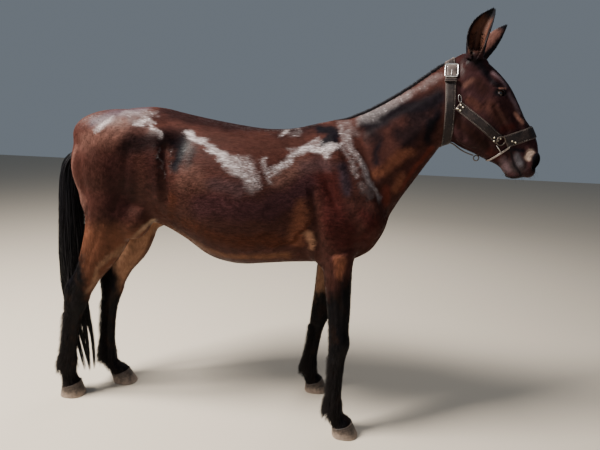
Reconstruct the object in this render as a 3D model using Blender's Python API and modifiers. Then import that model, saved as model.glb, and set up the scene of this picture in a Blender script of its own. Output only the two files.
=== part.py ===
"""A mule standing still in its halter, life size.

Metres, +Z up. The mule faces +X and its right side is -Y. The animal is modelled whole from lofted
sections and rounded muscles, and is then parted into named pieces by cuts a third of a millimetre wide.
"""
import math
import random

import bmesh
import bpy
import numpy as np
from mathutils import Matrix, Vector
from mathutils.bvhtree import BVHTree

# Sizes that hold for the whole model
GAP = 0.0003
BODY_GRAIN = 0.011
HEAD_GRAIN = 0.0065
BODY_TRIANGLES = 4200
HEAD_TRIANGLES = 2100
RIGHT = -1
LEFT = 1

# Sections of the trunk: x, height of the back, of the belly, half width, where it is widest as a share
# from back to belly, and how full the back and the belly are (2 is round, less is keen)
TRUNK = (
    (-0.640, 1.290, 1.120, 0.060, 0.40, 2.0, 2.0),
    (-0.596, 1.384, 1.040, 0.130, 0.38, 2.0, 2.0),
    (-0.515, 1.455, 0.970, 0.186, 0.36, 1.9, 2.0),
    (-0.400, 1.498, 0.940, 0.222, 0.36, 1.8, 2.1),
    (-0.250, 1.513, 0.952, 0.234, 0.38, 1.8, 2.1),
    (-0.110, 1.486, 0.890, 0.246, 0.42, 1.9, 2.1),
    (0.020, 1.463, 0.808, 0.264, 0.48, 2.0, 2.1),
    (0.150, 1.444, 0.782, 0.272, 0.50, 2.0, 2.1),
    (0.280, 1.432, 0.792, 0.262, 0.52, 1.9, 2.1),
    (0.400, 1.442, 0.804, 0.232, 0.54, 1.7, 2.1),
    (0.520, 1.474, 0.812, 0.196, 0.56, 1.5, 2.2),
    (0.640, 1.492, 0.820, 0.182, 0.60, 1.5, 2.3),
    (0.740, 1.420, 0.856, 0.168, 0.62, 1.7, 2.2),
    (0.815, 1.240, 0.935, 0.120, 0.55, 2.0, 2.0),
    (0.850, 1.130, 1.010, 0.060, 0.50, 2.0, 2.0),
)

# Sections of the neck: x and z on the crest, x and z on the underline, half width, where it is widest
NECK = (
    (0.540, 1.466, 0.740, 0.900, 0.130, 0.60),
    (0.650, 1.500, 0.838, 1.020, 0.122, 0.60),
    (0.750, 1.546, 0.905, 1.140, 0.104, 0.60),
    (0.859, 1.612, 0.975, 1.252, 0.086, 0.60),
    (0.950, 1.674, 1.025, 1.332, 0.076, 0.58),
    (1.040, 1.738, 1.064, 1.388, 0.070, 0.54),
    (1.118, 1.783, 1.100, 1.404, 0.072, 0.50),
    (1.180, 1.772, 1.130, 1.400, 0.070, 0.50),
)

# Sections of the head: x and z on the face, x and z under the jaw, half width, where it is widest,
# and how full the face and the jaw are
SKULL = (
    (1.085, 1.735, 1.085, 1.440, 0.050, 0.40, 2.0, 2.0),
    (1.120, 1.776, 1.104, 1.410, 0.066, 0.36, 2.0, 2.2),
    (1.172, 1.778, 1.135, 1.390, 0.078, 0.32, 2.1, 2.3),
    (1.220, 1.742, 1.170, 1.374, 0.087, 0.28, 2.3, 2.4),
    (1.272, 1.696, 1.206, 1.360, 0.092, 0.26, 2.5, 2.3),
    (1.320, 1.646, 1.240, 1.344, 0.080, 0.28, 2.5, 2.2),
    (1.364, 1.582, 1.276, 1.328, 0.064, 0.30, 2.4, 2.2),
    (1.402, 1.520, 1.306, 1.316, 0.053, 0.34, 2.3, 2.2),
    (1.440, 1.474, 1.330, 1.300, 0.049, 0.40, 2.3, 2.2),
    (1.468, 1.418, 1.346, 1.282, 0.051, 0.44, 2.4, 2.3),
    (1.478, 1.366, 1.366, 1.266, 0.054, 0.40, 2.5, 2.4),
    (1.475, 1.325, 1.398, 1.258, 0.050, 0.42, 2.4, 2.3),
    (1.462, 1.292, 1.430, 1.264, 0.036, 0.50, 2.2, 2.2),
)

# Sections of a leg: place along the joints (a whole number is a joint), reach to the front, to the back,
# and half width
FORE_LEG = (
    (0.00, 0.100, 0.100, 0.066),
    (0.50, 0.086, 0.088, 0.064),
    (1.00, 0.068, 0.078, 0.060),
    (1.30, 0.060, 0.066, 0.054),
    (1.60, 0.053, 0.055, 0.046),
    (1.84, 0.046, 0.048, 0.040),
    (1.95, 0.050, 0.047, 0.043),
    (2.03, 0.051, 0.045, 0.044),
    (2.14, 0.042, 0.043, 0.039),
    (2.28, 0.034, 0.038, 0.028),
    (2.60, 0.032, 0.037, 0.025),
    (2.84, 0.033, 0.040, 0.027),
    (2.95, 0.038, 0.046, 0.033),
    (3.02, 0.039, 0.048, 0.034),
    (3.25, 0.034, 0.040, 0.030),
    (3.60, 0.034, 0.036, 0.031),
    (4.00, 0.046, 0.046, 0.043),
    (4.50, 0.054, 0.048, 0.047),
)
HIND_LEG = (
    (0.00, 0.150, 0.150, 0.080),
    (0.50, 0.120, 0.174, 0.092),
    (1.00, 0.094, 0.148, 0.086),
    (1.35, 0.082, 0.110, 0.072),
    (1.62, 0.058, 0.074, 0.055),
    (1.76, 0.054, 0.070, 0.046),
    (1.87, 0.052, 0.080, 0.042),
    (1.95, 0.056, 0.078, 0.042),
    (2.04, 0.054, 0.064, 0.041),
    (2.16, 0.046, 0.052, 0.037),
    (2.30, 0.040, 0.045, 0.031),
    (2.60, 0.037, 0.042, 0.027),
    (2.84, 0.038, 0.044, 0.029),
    (2.95, 0.042, 0.049, 0.035),
    (3.02, 0.043, 0.051, 0.036),
    (3.25, 0.035, 0.041, 0.031),
    (3.60, 0.034, 0.036, 0.031),
    (4.00, 0.045, 0.044, 0.042),
    (4.50, 0.052, 0.046, 0.046),
)

# Joints of each leg: shoulder or hip, elbow or stifle, knee or hock, fetlock, coronet, sole
LEGS = {
    "fore_right": ((0.640, -0.120, 1.050), (0.636, -0.142, 0.850), (0.657, -0.164, 0.470),
                   (0.656, -0.172, 0.150), (0.694, -0.175, 0.058), (0.708, -0.175, 0.000)),
    "fore_left": ((0.620, 0.120, 1.050), (0.600, 0.142, 0.850), (0.548, 0.162, 0.470),
                  (0.510, 0.178, 0.158), (0.532, 0.184, 0.058), (0.542, 0.186, 0.000)),
    "hind_right": ((-0.440, -0.120, 1.220), (-0.430, -0.125, 0.960), (-0.660, -0.105, 0.555),
                   (-0.744, -0.082, 0.200), (-0.745, -0.074, 0.066), (-0.743, -0.070, 0.000)),
    "hind_left": ((-0.470, 0.120, 1.200), (-0.432, 0.125, 0.890), (-0.582, 0.104, 0.550),
                  (-0.622, 0.096, 0.170), (-0.558, 0.094, 0.060), (-0.532, 0.094, 0.000)),
}

# Muscles and bones under the skin, on both sides: centre, radii, and tilt about Y in degrees
MUSCLES = {
    "shoulder_blade": ((0.615, 0.084, 1.210), (0.105, 0.072, 0.200), -24.0),
    "shoulder_point": ((0.745, 0.110, 1.050), (0.090, 0.078, 0.110), -10.0),
    "upper_arm": ((0.610, 0.118, 1.030), (0.150, 0.086, 0.140), 30.0),
    "elbow": ((0.565, 0.128, 0.900), (0.060, 0.052, 0.080), 0.0),
    "breast": ((0.765, 0.062, 0.965), (0.050, 0.060, 0.100), 22.0),
    "croup": ((-0.340, 0.105, 1.355), (0.280, 0.130, 0.140), 4.0),
    "hip_bone": ((-0.175, 0.180, 1.360), (0.075, 0.052, 0.062), 0.0),
    "haunch": ((-0.445, 0.115, 1.230), (0.185, 0.112, 0.220), 0.0),
    "buttock": ((-0.555, 0.080, 1.180), (0.076, 0.074, 0.180), -6.0),
    "stifle": ((-0.318, 0.150, 0.990), (0.080, 0.060, 0.100), 24.0),
}

# Bones and folds of the head, on both sides: centre, radii, and tilt about Y in degrees
FACE = {
    "jowl": ((1.172, 0.046, 1.485), (0.088, 0.032, 0.105), -24.0),
    "brow": ((1.238, 0.062, 1.652), (0.050, 0.030, 0.026), 48.0),
    "cheek_bone": ((1.290, 0.060, 1.556), (0.095, 0.015, 0.016), 56.0),
    "nostril_wing": ((1.446, 0.038, 1.340), (0.034, 0.022, 0.044), 14.0),
    "upper_lip": ((1.444, 0.018, 1.294), (0.030, 0.032, 0.032), 10.0),
    "lower_lip": ((1.394, 0.016, 1.276), (0.036, 0.028, 0.020), -12.0),
    "ear_root": ((1.164, 0.048, 1.722), (0.054, 0.026, 0.046), 8.0),
}

# Where the pieces part: a point on each cut and its tilt, or its height
HEAD_CUT = ((1.104, 0, 1.590), -5.0)
NECK_CUT = ((0.735, 0, 1.240), -20.0)
FOREARM_CUT = 0.795
KNEE_CUT = 0.405
THIGH_CUT = 0.885
HOCK_CUT = 0.470

# Hooves: reach of the sole before and behind its middle, half width, and the slope of the coronet
SOLE_FRONT = 0.066
SOLE_BACK = 0.058
SOLE_HALF_WIDTH = 0.052
HOOF_TOP_FRONT = 0.050
HOOF_TOP_BACK = 0.046
HOOF_TOP_HALF_WIDTH = 0.045
CORONET_SLOPE = -17.0
SOLE_EDGE = 0.004

# Eyes: middle of the eyeball, its radius, the lids round it, and the slit between them
EYE = (1.259, 0.069, 1.614)
EYE_RADIUS = 0.0205
LID_THICKNESS = 0.0040
EYE_AIM = (0.30, 0.94, 0.06)
SLIT_HALF_LENGTH = 0.0195
SLIT_UPPER = 0.0085
SLIT_LOWER = 0.0080
SLIT_TILT = 28.0

# Nostrils, and the line of the mouth from its corner: length, height, slope and where it starts inside
NOSTRIL = (1.460, 0.049, 1.332)
NOSTRIL_RADII = (0.014, 0.022, 0.032)
NOSTRIL_TILT = 12.0
MOUTH_CORNER = (1.346, 0, 1.350)
MOUTH_LENGTH = 0.130
MOUTH_HALF_HEIGHT = 0.0014
MOUTH_SLOPE = 47.0
MOUTH_INSIDE = 0.034

# Ears: root, tip and the way that the cup opens, for the right and the left one
EARS = {
    "ear_right": ((1.150, -0.056, 1.752), (1.152, -0.078, 1.860), (1.202, -0.074, 1.946),
                  (-0.05, -0.99, 0.0)),
    "ear_left": ((1.164, 0.056, 1.748), (1.242, 0.078, 1.826), (1.308, 0.090, 1.915),
                 (0.75, 0.50, -0.45)),
}
# Sections of an ear: share of its length, half width, and half the angle that its wall spans
EAR_SHAPE = (
    (0.00, 0.036, 168.0),
    (0.12, 0.037, 146.0),
    (0.28, 0.040, 112.0),
    (0.48, 0.043, 94.0),
    (0.66, 0.039, 84.0),
    (0.82, 0.028, 78.0),
    (0.93, 0.016, 74.0),
    (1.00, 0.006, 70.0),
)
EAR_WALL = 0.0045
EAR_TIP_WALL = 0.0022

# Halter: thickness of the leather, how far it stays off the skin, and widths of the straps
LEATHER = 0.0042
OFF_SKIN = 0.0026
BAND_WIDTH = 0.042
CHEEK_WIDTH = 0.032
NOSE_WIDTH = 0.054
JAW_WIDTH = 0.022
CHIN_WIDTH = 0.009
# Halter: where the straps run, as x and z, with the tilt of the bands and half the arc they span
BAND_PIVOT = (1.068, 0, 1.573)
BAND_TILT = -3.0
NOSE_PIVOT = (1.372, 0, 1.436)
NOSE_TILT = 69.0
NOSE_ARC = 130.0
CHIN_PIVOT = (1.316, 0, 1.372)
CHIN_TILT = -131.0
CHIN_ARC = 121.0
CHEEK_START = (1.112, 0, 1.552)
CHEEK_END = (1.274, 0, 1.432)
JAW_START = (1.124, 0, 1.420)
JAW_END = (1.214, 0, 1.384)
# Halter: the cheek rings, the ring under the jaw and the buckle on the band
CHEEK_RING = (1.296, 0, 1.421)
CHEEK_RING_RADIUS = 0.019
RING_THICKNESS = 0.0026
JAW_RING_X = 1.220
JAW_RING_RADIUS = 0.0115
BUCKLE = (1.066, 0, 1.704)
BUCKLE_HALF_WIDTH = 0.026
BUCKLE_HALF_HEIGHT = 0.029
BUCKLE_BAR = 0.0032

# Tail: x and z of its line, half width from side to side, and reach to the front and to the back of it
TAIL = (
    (-0.600, 1.292, 0.022, 0.022, 0.020),
    (-0.660, 1.284, 0.027, 0.026, 0.022),
    (-0.712, 1.240, 0.034, 0.032, 0.028),
    (-0.738, 1.165, 0.040, 0.060, 0.030),
    (-0.746, 1.040, 0.046, 0.082, 0.034),
    (-0.752, 0.880, 0.050, 0.094, 0.044),
    (-0.752, 0.720, 0.052, 0.092, 0.056),
    (-0.748, 0.560, 0.050, 0.082, 0.062),
    (-0.728, 0.420, 0.042, 0.070, 0.058),
    (-0.704, 0.290, 0.034, 0.056, 0.044),
    (-0.684, 0.105, 0.022, 0.030, 0.026),
)
# Tail: its core as a share of the whole in width and in length, and its locks
TAIL_CORE_WIDTH = 0.60
TAIL_CORE_LENGTH = 0.50
TAIL_LOCKS = 27
TAIL_LOCK_WIDTH = 0.040
TAIL_LOCK_THICK = 0.014
TAIL_LOCK_RINGS = 4

# Mane: where it starts and ends along the crest, its height, its core and its locks
MANE_START = 0.640
MANE_END = 1.030
MANE_HEIGHT = 0.027
MANE_CORE_HEIGHT = 0.010
MANE_CORE_HALF_WIDTH = 0.007
MANE_LOCKS = 28
MANE_LOCK_WIDTH = 0.026
MANE_LOCK_THICK = 0.010
MANE_ROOT_DEPTH = 0.010

# Fetlocks: the tuft of short locks behind each
TUFT_LOCKS = 5
TUFT_LENGTH = 0.050
TUFT_WIDTH = 0.014
TUFT_THICK = 0.008
TUFT_ROOT_DEPTH = 0.008

# Colour, roughness and metallic value by the start of a piece's name, the first that fits
FINISHES = (
    ("head", ((0.085, 0.035, 0.020), 0.55)),
    ("neck", ((0.085, 0.032, 0.018), 0.50)),
    ("torso", ((0.100, 0.036, 0.020), 0.45)),
    ("fore_leg_upper", ((0.080, 0.032, 0.018), 0.50)),
    ("hind_leg_upper", ((0.110, 0.042, 0.020), 0.50)),
    ("fore_leg_lower", ((0.016, 0.012, 0.011), 0.60)),
    ("hind_leg_lower", ((0.016, 0.012, 0.011), 0.60)),
    ("hoof", ((0.090, 0.072, 0.060), 0.80)),
    ("ear", ((0.060, 0.028, 0.018), 0.60)),
    ("eye", ((0.010, 0.006, 0.004), 0.08)),
    ("tail", ((0.010, 0.009, 0.009), 0.50)),
    ("mane", ((0.014, 0.012, 0.012), 0.60)),
    ("halter_buckle", ((0.620, 0.600, 0.560), 0.25, 1.0)),
    ("halter_cheek_ring", ((0.560, 0.520, 0.440), 0.30, 1.0)),
    ("halter_jaw_ring", ((0.560, 0.520, 0.440), 0.30, 1.0)),
    ("halter_chin_strap", ((0.420, 0.370, 0.310), 0.70)),
    ("halter", ((0.070, 0.052, 0.042), 0.65)),
)


def smooth_rows(rows, per_span):
    """Rows of numbers with more rows between them, along a smooth curve through all."""
    table = np.array(rows, float)
    padded = np.vstack([2 * table[0] - table[1], table, 2 * table[-1] - table[-2]])
    result = []
    for start in range(len(table) - 1):
        before, first, second, after = padded[start:start + 4]
        for step in range(per_span):
            t = step / per_span
            slope = (second - before) * t
            bend = (2 * before - 5 * first + 4 * second - after) * t ** 2
            turn = (3 * first - before - 3 * second + after) * t ** 3
            result.append(first + 0.5 * (slope + bend + turn))
    result.append(table[-1])
    return result


def power(value, exponent):
    """A power that keeps the sign of its base."""
    return math.copysign(abs(value) ** exponent, value)


def section(top, bottom, wide, widest=0.5, full_top=2.0, full_bottom=2.0, count=28):
    """A closed ring in the plane of two points and the Y axis, egg-shaped between them."""
    top = Vector(top)
    bottom = Vector(bottom)
    middle = top.lerp(bottom, widest)
    ring = []
    for index in range(count):
        angle = 2 * math.pi * index / count
        up = math.cos(angle)
        full = full_top if up > 0 else full_bottom
        reach = abs(up) ** (2 / full)
        side = power(math.sin(angle), 2 / full) * wide
        end = top if up > 0 else bottom
        point = middle.lerp(end, reach)
        ring.append(point + Vector((0, side, 0)))
    return ring


def mesh_object(name, mesh):
    """Puts a bmesh in a new object of the scene."""
    data = bpy.data.meshes.new(name)
    mesh.to_mesh(data)
    mesh.free()
    made = bpy.data.objects.new(name, data)
    bpy.context.scene.collection.objects.link(made)
    return made


def loft(name, rings):
    """A closed form through rings of equally many points, with a fan on each end."""
    mesh = bmesh.new()
    loops = [[mesh.verts.new(point) for point in ring] for ring in rings]
    count = len(loops[0])
    for low, high in zip(loops, loops[1:]):
        for index in range(count):
            after = (index + 1) % count
            mesh.faces.new((low[index], low[after], high[after], high[index]))
    for loop in (loops[0], loops[-1]):
        centre = mesh.verts.new(sum((vert.co for vert in loop), Vector()) / count)
        for index in range(count):
            mesh.faces.new((loop[index], loop[(index + 1) % count], centre))
    bmesh.ops.triangulate(mesh, faces=mesh.faces)
    bmesh.ops.recalc_face_normals(mesh, faces=mesh.faces)
    return mesh_object(name, mesh)


def ellipsoid(name, centre, radii, tilt=0.0, around=20, along=12):
    """A stretched ball, tilted about the Y axis by some degrees."""
    mesh = bmesh.new()
    bmesh.ops.create_uvsphere(mesh, u_segments=around, v_segments=along, radius=1.0)
    shape = Matrix.Translation(centre) @ Matrix.Rotation(math.radians(tilt), 4, "Y")
    mesh.transform(shape @ Matrix.Diagonal((*radii, 1.0)))
    return mesh_object(name, mesh)


def trunk():
    """The barrel, from the buttocks to the breast."""
    rings = []
    for x, back, belly, wide, widest, full_back, full_belly in smooth_rows(TRUNK, 3):
        rings.append(section((x, 0, back), (x, 0, belly), wide, widest, full_back, full_belly))
    return loft("trunk", rings)


def neck_form():
    """The neck, from inside the shoulders to inside the head."""
    rings = []
    for crest_x, crest_z, under_x, under_z, wide, widest in smooth_rows(NECK, 3):
        rings.append(section((crest_x, 0, crest_z), (under_x, 0, under_z), wide, widest, 1.5, 1.9))
    return loft("neck_form", rings)


def skull_form():
    """The head, from the poll to the lips."""
    rings = []
    for face_x, face_z, jaw_x, jaw_z, wide, widest, full_face, full_jaw in smooth_rows(SKULL, 3):
        ring = section((face_x, 0, face_z), (jaw_x, 0, jaw_z), wide, widest, full_face, full_jaw)
        rings.append(ring)
    return loft("skull_form", rings)


def leg_point(joints, place):
    """The point on a leg's line at a place counted in joints, and the way that the line runs there."""
    per_span = 20
    line = [Vector(point) for point in smooth_rows(joints, per_span)]
    spot = min(max(place * per_span, 0), len(line) - 1)
    index = min(int(spot), len(line) - 2)
    point = line[index].lerp(line[index + 1], spot - index)
    return point, (line[index + 1] - line[index]).normalized()


def leg_form(name, joints, sizes):
    """A leg from inside the trunk down into its hoof."""
    rings = []
    for place, front, back, wide in smooth_rows(sizes, 3):
        point, run = leg_point(joints, place)
        forward = Vector((-run.z, 0, run.x)).normalized()
        rings.append(section(point + forward * front, point - forward * back, wide, 0.5, 2.2, 2.2, 20))
    return loft(name, rings)


def both_sides(pieces):
    """The muscles or bones of a table, on the right and on the left."""
    made = []
    for name, (centre, radii, tilt) in pieces.items():
        for side in (RIGHT, LEFT):
            place = (centre[0], centre[1] * side, centre[2])
            made.append(ellipsoid(f"{name}_{side}", place, radii, tilt))
    return made


def joined(name, pieces):
    """One object that holds the meshes of several, which are removed."""
    mesh = bmesh.new()
    for piece in pieces:
        mesh.from_mesh(piece.data)
        bpy.data.objects.remove(piece)
    return mesh_object(name, mesh)


def applied(piece):
    """The piece with its modifiers worked into its mesh."""
    graph = bpy.context.evaluated_depsgraph_get()
    data = bpy.data.meshes.new_from_object(piece.evaluated_get(graph))
    piece.modifiers.clear()
    piece.data = data
    return piece


def remeshed(piece, grain):
    """The piece as one closed surface of even grain."""
    remesh = piece.modifiers.new("remesh", "REMESH")
    remesh.mode = "VOXEL"
    remesh.voxel_size = grain
    return applied(piece)


def softened(piece, passes, factor, share=None):
    """The piece with its creases smoothed, everywhere or by a share that depends on the place."""
    smooth = piece.modifiers.new("smooth", "SMOOTH")
    smooth.iterations = passes
    smooth.factor = factor
    if share:
        group = piece.vertex_groups.new(name="share")
        for vert in piece.data.vertices:
            group.add([vert.index], share(vert.co), "REPLACE")
        smooth.vertex_group = group.name
    return applied(piece)


def trunk_share(place):
    """1 on the trunk and the top of the legs, and less down the legs and at the head."""
    down = min(1.0, max(0.0, (place.z - 0.62) / 0.25))
    back = min(1.0, max(0.0, (1.05 - place.x) / 0.20))
    return down * back


def thinned(piece, triangles):
    """The piece with no more than about this many triangles."""
    mesh = bmesh.new()
    mesh.from_mesh(piece.data)
    bmesh.ops.triangulate(mesh, faces=mesh.faces)
    mesh.to_mesh(piece.data)
    mesh.free()
    decimate = piece.modifiers.new("decimate", "DECIMATE")
    decimate.ratio = min(1.0, triangles / len(piece.data.polygons))
    return applied(piece)


def whole_body():
    """The body without ears, eyes, hooves, mane and tail, as one closed surface."""
    pieces = [trunk(), neck_form(), skull_form()]
    for name, joints in LEGS.items():
        sizes = FORE_LEG if name.startswith("fore") else HIND_LEG
        pieces.append(leg_form(name, joints, sizes))
    pieces += both_sides(MUSCLES)
    body = remeshed(joined("body", pieces), BODY_GRAIN)
    body = softened(softened(body, 5, 0.5), 40, 0.5, trunk_share)
    return thinned(body, BODY_TRIANGLES)


def head_body():
    """The head with the top of the neck, finer than the body."""
    pieces = [skull_form(), neck_form()] + both_sides(FACE)
    head = remeshed(joined("head_body", pieces), HEAD_GRAIN)
    return thinned(softened(head, 5, 0.5), HEAD_TRIANGLES)


def combine(target, cutter, operation, solver="EXACT"):
    """The target after a Boolean with the cutter, which is kept."""
    boolean = target.modifiers.new("boolean", "BOOLEAN")
    boolean.operation = operation
    boolean.solver = solver
    boolean.object = cutter
    return applied(target)


def largest_surface(piece):
    """The piece with only its largest closed surface."""
    mesh = bmesh.new()
    mesh.from_mesh(piece.data)
    seen = set()
    groups = []
    for start in mesh.faces:
        if start in seen:
            continue
        group = [start]
        seen.add(start)
        for face in group:
            for edge in face.edges:
                for other in edge.link_faces:
                    if other not in seen:
                        seen.add(other)
                        group.append(other)
        groups.append(group)
    groups.sort(key=lambda group: sum(face.calc_area() for face in group))
    scraps = [face for group in groups[:-1] for face in group]
    bmesh.ops.delete(mesh, geom=scraps, context="FACES")
    mesh.to_mesh(piece.data)
    mesh.free()
    return piece


def block(name, low, high, tilt=0.0, pivot=(0, 0, 0)):
    """A box from its lowest to its highest corner, turned about the Y axis through the pivot."""
    mesh = bmesh.new()
    bmesh.ops.create_cube(mesh, size=1.0)
    size = [high[axis] - low[axis] for axis in range(3)]
    centre = [(high[axis] + low[axis]) / 2 for axis in range(3)]
    mesh.transform(Matrix.Translation(centre) @ Matrix.Diagonal((*size, 1.0)))
    turn = Matrix.Rotation(math.radians(tilt), 4, "Y")
    mesh.transform(Matrix.Translation(pivot) @ turn @ Matrix.Translation(-Vector(pivot)))
    return mesh_object(name, mesh)


def copy_of(piece, name):
    """A copy of the piece with a mesh of its own."""
    made = piece.copy()
    made.data = piece.data.copy()
    made.name = name
    bpy.context.scene.collection.objects.link(made)
    return made


def cut_out(source, name, low, high, tilt=0.0, pivot=(0, 0, 0)):
    """The piece of the source inside a box, which the source then loses with a thin gap more."""
    inner = block("inner", low, high, tilt, pivot)
    wider = block("outer", [v - GAP for v in low], [v + GAP for v in high], tilt, pivot)
    piece = combine(copy_of(source, name), inner, "INTERSECT")
    combine(source, wider, "DIFFERENCE")
    bpy.data.objects.remove(inner)
    bpy.data.objects.remove(wider)
    largest_surface(source)
    return largest_surface(piece)


def paint(piece, colour, roughness, metallic=0.0):
    """Gives the piece a plain material of its own."""
    material = bpy.data.materials.new(piece.name)
    material.use_nodes = True
    material.diffuse_color = (*colour, 1.0)
    shader = material.node_tree.nodes["Principled BSDF"]
    shader.inputs["Base Color"].default_value = (*colour, 1.0)
    shader.inputs["Roughness"].default_value = roughness
    shader.inputs["Metallic"].default_value = metallic
    piece.data.materials.clear()
    piece.data.materials.append(material)
    return piece


def grown(piece, distance):
    """A copy of the piece with its surface moved out."""
    made = copy_of(piece, "grown")
    normals = [vert.normal.copy() for vert in made.data.vertices]
    for vert, normal in zip(made.data.vertices, normals):
        vert.co += normal * distance
    return made


def clear_of(piece, *others):
    """The piece without what lies in the others or within a thin gap of them."""
    for other in others:
        cutter = grown(other, GAP * 1.2)
        combine(piece, cutter, "DIFFERENCE")
        bpy.data.objects.remove(cutter)
    return largest_surface(piece)


def strip(name, rows, closed=False):
    """A bar through rows of points round its section, closed to a loop or capped at its ends."""
    mesh = bmesh.new()
    grid = [[mesh.verts.new(point) for point in row] for row in rows]
    count = len(grid[0])
    pairs = list(zip(grid, grid[1:]))
    if closed:
        pairs.append((grid[-1], grid[0]))
    for low, high in pairs:
        for index in range(count):
            after = (index + 1) % count
            mesh.faces.new((low[index], low[after], high[after], high[index]))
    if not closed:
        for row in (grid[0], grid[-1]):
            for index in range(1, count // 2):
                corners = (row[index - 1], row[index], row[count - 1 - index], row[count - index])
                mesh.faces.new(corners)
    bmesh.ops.triangulate(mesh, faces=mesh.faces)
    bmesh.ops.recalc_face_normals(mesh, faces=mesh.faces)
    return mesh_object(name, mesh)


def surface_of(*pieces):
    """A search tree over the surfaces of pieces."""
    mesh = bmesh.new()
    for piece in pieces:
        mesh.from_mesh(piece.data)
    tree = BVHTree.FromBMesh(mesh)
    mesh.free()
    return tree


def reach_on(tree, centre, way, far=0.5):
    """How far the surface lies from a centre inside it, looked at from outside."""
    hit = tree.ray_cast(centre + way * far, -way)[0]
    return (hit - centre).dot(way)


def taut(reach, turn=0.0, closed=False, passes=6):
    """Reaches along a strap, with each hollow bridged by its neighbours; the rays turn by an angle."""
    result = list(reach)
    last = len(reach) - 1
    for _ in range(passes):
        before = list(result)
        for index in range(len(reach)):
            if closed or 0 < index < last:
                one = before[index - 1]
                other = before[(index + 1) % len(reach)]
                fan = 2 * one * other * math.cos(turn) / (one + other)
                level = fan if turn else (one + other) / 2
                result[index] = max(level, reach[index])
    return result


def strap(name, lines, closed=False):
    """A strap between two edges, each a list of a base point, the way out and how far the skin is."""
    rows = []
    for near, far in zip(*lines):
        row = [base + way * reach for base, way, reach in (near, far)]
        row += [base + way * (reach + LEATHER) for base, way, reach in (far, near)]
        rows.append(row)
    return strip(name, rows, closed)


def band(name, tree, pivot, tilt, width, arc=180.0, count=28):
    """A strap round the neck or the head, in a plane through the pivot, whole or over an arc."""
    lean = Matrix.Rotation(math.radians(tilt), 3, "Y")
    along = lean @ Vector((1, 0, 0))
    up = lean @ Vector((0, 0, 1))
    closed = arc >= 180.0
    steps = count if closed else count - 1
    lines = []
    for shift in (-width / 2, width / 2):
        centre = Vector(pivot) + along * shift
        ways = []
        for index in range(count):
            angle = math.radians(arc) * (2 * index / steps - 1)
            ways.append(up * math.cos(angle) + Vector((0, math.sin(angle), 0)))
        turn = math.radians(arc) * 2 / steps
        reach = taut([reach_on(tree, centre, way) + OFF_SKIN for way in ways], turn, closed)
        lines.append([(centre, way, length) for way, length in zip(ways, reach)])
    return strap(name, lines, closed)


def laid_strap(name, tree, start, end, across, out, width, count=12):
    """A strap laid on the skin between two points, seen along the way out."""
    start = Vector(start)
    end = Vector(end)
    lines = []
    for shift in (-width / 2, width / 2):
        bases = [start.lerp(end, index / (count - 1)) + across * shift for index in range(count)]
        reach = taut([reach_on(tree, base, out) + OFF_SKIN for base in bases])
        lines.append([(base, out, length) for base, length in zip(bases, reach)])
    return strap(name, lines)


def ring(name, centre, across, along, thick, full=2.0, around=18, count=5):
    """A round or, where it is fuller, four-sided ring; its half sizes are the lengths of the ways."""
    normal = across.cross(along).normalized()
    rows = []
    for index in range(around):
        angle = 2 * math.pi * (index + 0.5) / around
        way = across * power(math.cos(angle), 2 / full) + along * power(math.sin(angle), 2 / full)
        out = way.normalized()
        row = []
        for step in range(count):
            turn = 2 * math.pi * step / count
            row.append(centre + way + (out * math.cos(turn) + normal * math.sin(turn)) * thick)
        rows.append(row)
    return strip(name, rows, closed=True)


def ring_on(name, tree, place, side, half_width, half_height, thick, full=2.0):
    """A ring that lies flat on a strap or on the skin of one side of the head."""
    out = Vector((0, side, 0))
    place = Vector(place)

    def spot(x, z):
        base = place + Vector((x, 0, z))
        return base + out * reach_on(tree, base, out)

    across = (spot(half_width, 0) - spot(-half_width, 0)).normalized()
    along = (spot(0, half_height) - spot(0, -half_height)).normalized()
    normal = across.cross(along).normalized()
    if normal.y * side < 0:
        normal = -normal
    centre = (spot(half_width, 0) + spot(-half_width, 0)) / 2
    centre += normal * (LEATHER + OFF_SKIN + thick + 0.002)
    return ring(name, centre, across * half_width, along * half_height, thick, full)


def hoof(name, coronet, sole):
    """A hoof from its sloping coronet to its flat sole."""
    coronet = Vector(coronet)
    sole = Vector(sole)
    turn = Matrix.Rotation(math.radians(CORONET_SLOPE), 3, "Y")
    slope = turn @ Vector((1, 0, 0))
    low = coronet - (turn @ Vector((0, 0, 1))) * GAP
    forward = Vector((1, 0, 0))
    edge = Vector((0, 0, SOLE_EDGE))
    outline = ((sole, forward, SOLE_FRONT - SOLE_EDGE, SOLE_BACK - SOLE_EDGE, SOLE_HALF_WIDTH - SOLE_EDGE),
               (sole + edge, forward, SOLE_FRONT, SOLE_BACK, SOLE_HALF_WIDTH),
               (low, slope, HOOF_TOP_FRONT, HOOF_TOP_BACK, HOOF_TOP_HALF_WIDTH))
    rings = []
    for centre, way, front, back, wide in outline:
        rings.append(section(centre + way * front, centre - way * back, wide, 0.5, 2.2, 2.8, 24))
    rings.insert(2, [a.lerp(b, 0.5) for a, b in zip(rings[1], rings[2])])
    return loft(name, rings)


def trim_leg(leg, coronet):
    """Takes the foot off a leg along the coronet."""
    x, y, z = coronet
    low = (x - 0.3, y - 0.3, z - 0.3)
    high = (x + 0.3, y + 0.3, z)
    cutter = block("foot", low, high, CORONET_SLOPE, coronet)
    combine(leg, cutter, "DIFFERENCE")
    bpy.data.objects.remove(cutter)
    return largest_surface(leg)


def eye_frame(side):
    """The middle of an eye and the ways along its slit, across it and out of the head."""
    centre = Vector((EYE[0], EYE[1] * side, EYE[2]))
    out = Vector((EYE_AIM[0], EYE_AIM[1] * side, EYE_AIM[2])).normalized()
    tilt = math.radians(SLIT_TILT)
    along = Vector((math.cos(tilt), 0, -math.sin(tilt)))
    along = (along - out * along.dot(out)).normalized()
    across = out.cross(along).normalized()
    if across.z < 0:
        across = -across
    return centre, along, across, out


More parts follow.
